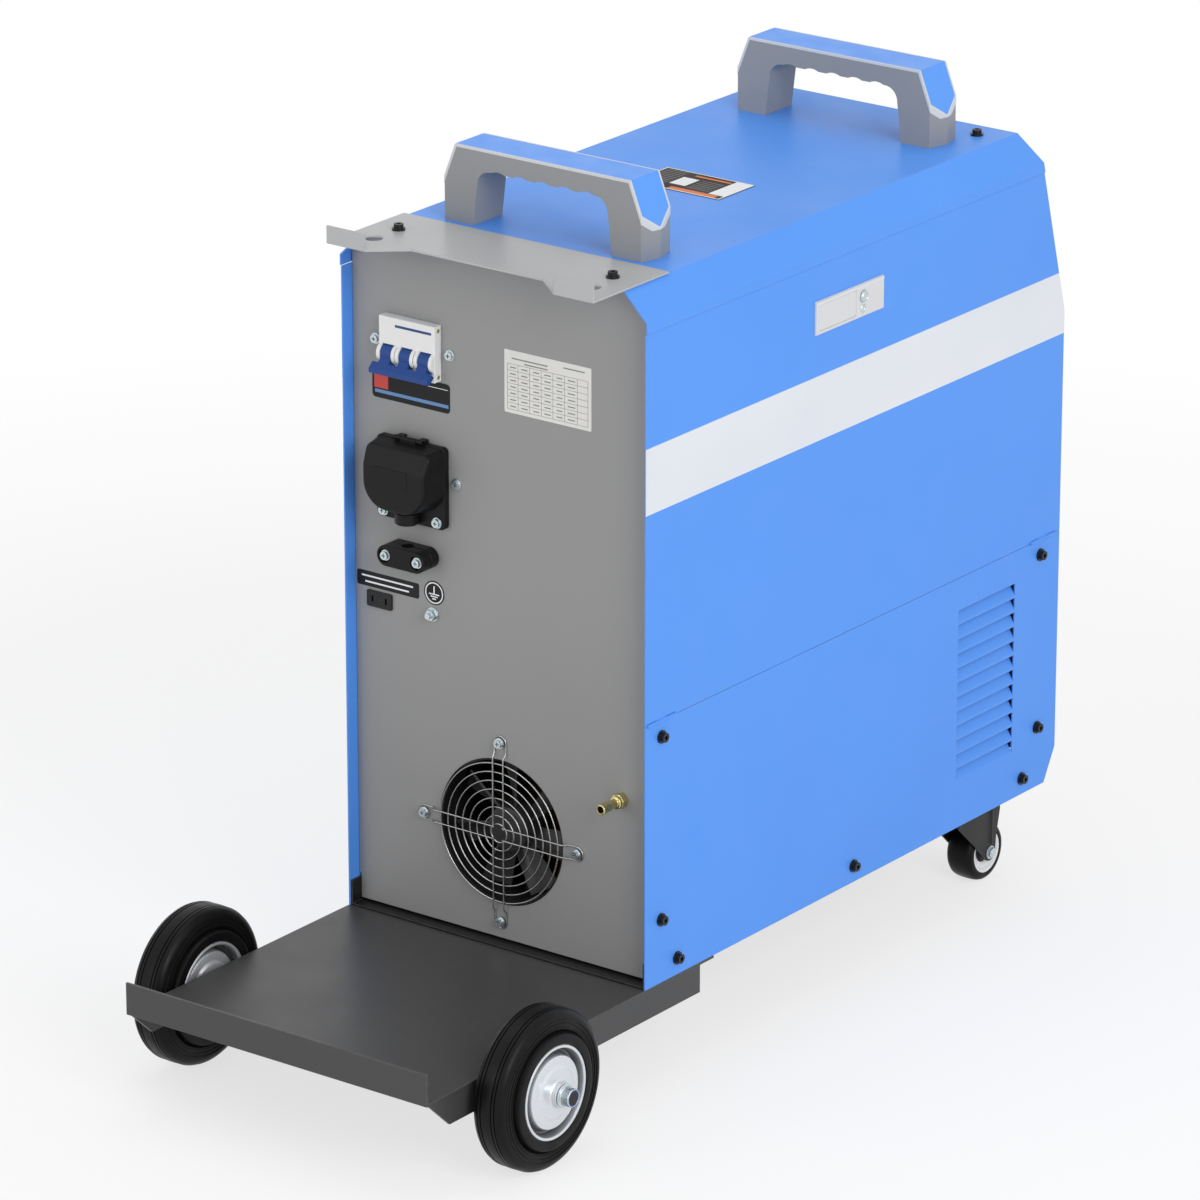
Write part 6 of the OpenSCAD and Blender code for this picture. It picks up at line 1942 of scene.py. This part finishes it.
@dataclass
class FrontControls:
    """Knobs with ribs and a pointer, display lenses with plain digits, and rings of ticks round the knobs."""

    lean: float = math.degrees(math.atan2(33.4, 122.5))
    depth: float = 552.0
    foot: float = 401.3
    across: float = 62.0
    knob_up: float = 46.0
    lens_up: float = 111.6
    overlay: float = 2.0
    radius: float = 13.0
    ribs: int = 24
    ticks: int = 11
    sweep: float = 270.0
    pointer: Triple = (1.4, 7.0, 0.3)
    tick: Triple = (4.0, 0.7, 0.08)
    glass: Triple = (55.6, 23.6, 0.5)
    digit_pitch: float = 14.0

    def frame(self, x: float, up: float) -> Matrix:
        """Finds a place on the leaning face.

        Args:
            x: Distance across the machine in mm.
            up: Distance up the face in mm.

        Returns:
            The transform from the face's own frame, +Z outwards, to the scene.
        """
        tilt = Matrix.Rotation(math.radians(90 - self.lean), 4, "X")
        place = Matrix.Translation(Vector((x, up, 0)) * MM)
        return Matrix.Translation(at(0, self.depth, self.foot)) @ tilt @ place

    def knob(self, side: int) -> None:
        """Makes one ribbed knob with a pale pointer.

        Args:
            side: Side of the machine, -1 or 1.
        """
        word, body = hand(side), "voltage_knob" if side < 0 else "current_knob"
        start = Vector((0, 0, (self.overlay + 0.4) * MM))
        r = self.radius
        line = [(0, 3.05), (0, r + 1.6), (0.4, r + 2.0), (2.6, r + 2.0), (3.2, r + 1.2), (3.6, r - 0.2),
                (13.6, r - 1.0), (14.6, r - 1.8), (15.0, r - 3.0), (15.0, 0), (11.0, 0), (11.0, 3.05)]
        made = lathe(line, start, Axis.Z.vector(), 96)
        for i in range(self.ribs):
            angle = i * TURN / self.ribs
            place = Vector((math.cos(angle), math.sin(angle), 0)) * (r - 0.9) * MM
            place += start + Vector((0, 0, 3.4 * MM))
            made.add(drum(place, Axis.Z.vector(), 0.9, 10.4, 0.3, 10))
        made.moved(self.frame(side * self.across, self.knob_up))
        made.piece(f"{word}_dial", body, Palette.BLACK, "black_plastic", [f"{word}_knob"])
        mark = slab(Matrix.Translation(start + Vector((0, 7.6, 15.0)) * MM), self.pointer).bevel(0.08, 1)
        mark.moved(self.frame(side * self.across, self.knob_up))
        mark.piece(f"{word}_pointer", body, Palette.INK_WHITE, "label_film")

    def lens(self, side: int) -> None:
        """Makes one display lens with three plain digits behind it.

        Args:
            side: Side of the machine, -1 or 1.
        """
        word = hand(side)
        glass = slab(Matrix.Translation(Vector((0, 0, self.overlay + 0.25)) * MM), self.glass).bevel(0.15, 2)
        glass.moved(self.frame(side * self.across, self.lens_up))
        glass.piece(f"{word}_display", "case", Palette.DISPLAY, "black_plastic")
        level = self.overlay + 0.53
        bars = [(0, up, 6, 1) for up in (7.5, 0, -7.5)]
        bars += [(across, up, 1, 6) for up in (3.8, -3.8) for across in (-3.6, 3.6)]
        digits = Shape()
        for place in (-1, 0, 1):
            for a, b, w, h in bars:
                middle = Vector((place * self.digit_pitch + a, b, level)) * MM
                digits.add(slab(Matrix.Translation(middle), (w, h, 0.06)))
        digits.moved(self.frame(side * self.across, self.lens_up))
        digits.piece(f"{word}_digits", "case", Palette.DIGIT, "label_film")

    def scales(self) -> None:
        """Prints a ring of ticks round each knob."""
        made = Shape()
        out = Matrix.Translation(Vector((19.5, 0, self.overlay + 0.04)) * MM)
        for side in (-1, 1):
            for i in range(self.ticks):
                angle = math.radians(225 - i * self.sweep / (self.ticks - 1))
                tick = slab(Matrix.Rotation(angle, 4, "Z") @ out, self.tick)
                made.add(tick.moved(self.frame(side * self.across, self.knob_up)))
        made.piece("dial_scales", "case", Palette.INK_WHITE, "label_film")

    def build(self) -> None:
        """Makes the front controls."""
        for side in (-1, 1):
            self.knob(side)
            self.lens(side)
        self.scales()


# ---------------------------------------------------------------- light, floor, camera


@dataclass(frozen=True)
class Studio:
    """Plain pale floor, soft light and the camera."""

    azimuth: float = 216.951
    elevation: float = 19.862
    distance: float = 5.587
    aim: Triple = (0.0059, 0.0160, 0.3244)
    lens: float = 215.102
    sensor: float = 36.0
    ambient: float = 0.58
    floor_white: float = 0.7
    floor_size: float = 30.0
    fade: Point = (0.9, 1.7)
    lamp_aim: Triple = (0.0, 0.0, 0.3)
    lamps: tuple[tuple[str, Triple, float, float], ...] = (
        ("key", (-3.6, 1.6, 2.4), 2.6, 84.0),
        ("top", (0.6, -0.4, 4.2), 3.0, 26.0),
        ("rear_fill", (1.4, 4.4, 1.6), 2.4, 34.0),
    )

    def camera(self) -> None:
        """Places the camera."""
        az, el = math.radians(self.azimuth), math.radians(self.elevation)
        look = Vector((math.sin(-az), math.cos(-az), 0)) * math.cos(el) - Vector((0, 0, math.sin(el)))
        data = bpy.data.cameras.new("camera")
        data.lens, data.sensor_width = self.lens, self.sensor
        data.clip_start, data.clip_end = 0.1, 60.0
        camera = placed("camera", data)
        camera.location = Vector(self.aim) - look * self.distance
        camera.rotation_euler = look.to_track_quat("-Z", "Y").to_euler()
        bpy.context.scene.camera = camera

    def light(self) -> None:
        """Sets the world and the lamps."""
        world = bpy.data.worlds.new("studio")
        bpy.context.scene.world = world
        world.use_nodes = True
        graph = Graph(world.node_tree)
        strength = graph.ranged(graph.seen(), self.ambient, 1.0, 0.0, 1.0)
        graph.feed(graph.tree.nodes["Background"], Strength=strength, Color=(1.0, 1.0, 1.0, 1.0))
        for name, place, size, power in self.lamps:
            data = bpy.data.lights.new(name, "AREA")
            data.shape, data.size, data.energy = "DISK", size, power
            lamp = placed(name, data)
            lamp.location = place
            lamp.rotation_euler = (Vector(self.lamp_aim) - Vector(place)).to_track_quat("-Z", "Y").to_euler()

    def floor(self) -> None:
        """Lays the pale floor, which keeps the shadow."""
        sheet = Shape()
        bmesh.ops.create_grid(sheet.bm, x_segments=1, y_segments=1, size=self.floor_size)
        ground = placed("floor", sheet.mesh("floor"))
        recipe = Recipe("floor_white")
        recipe.feed(recipe.shader, Base_Color=(0.9, 0.9, 0.9, 1.0), Roughness=0.9, Specular_IOR_Level=0.0)
        seen = recipe.seen()
        away = recipe.vector_math("LENGTH", recipe.place, result="Value")
        white = recipe.ranged(away, self.floor_white, 1.0, *self.fade)
        glow = recipe.feed(recipe.node("ShaderNodeEmission"), Color=(1.0, 1.0, 1.0, 1.0), Strength=1.0)
        blend = recipe.node("ShaderNodeMixShader")
        factor = recipe.math("MULTIPLY", seen, white)
        recipe.give(blend.inputs, factor, recipe.shader.outputs[0], glow.outputs[0])
        recipe.feed(recipe.tree.nodes["Material Output"], Surface=blend.outputs[0])
        ground.data.materials.append(recipe.out)

    def build(self) -> None:
        """Sets up the whole studio."""
        bpy.context.scene.view_settings.view_transform = "Standard"
        self.camera()
        self.light()
        self.floor()


def main() -> None:
    """Builds the studio and dresses the machine."""
    logging.basicConfig(level=logging.INFO, format="%(name)s: %(message)s")
    Studio().build()
    Cabinet().build()
    RoofHandle("rear", 81.0).build("rear_handle_grip")
    RoofHandle("front", 461.5).build("front_handle_grip")
    for side in (-1, 1):
        RearWheel(side).build()
        CasterWheel(side).build()
        CasterFork(side).build()
    Breaker().build()
    TerminalBox().build()
    CableClamp().build()
    FanGuard().build()
    FanRotor().build()
    GasInlet().build()
    Labels().build()
    DoorLatch().build()
    FrontControls().build()


if __name__ == "__main__":
    main()
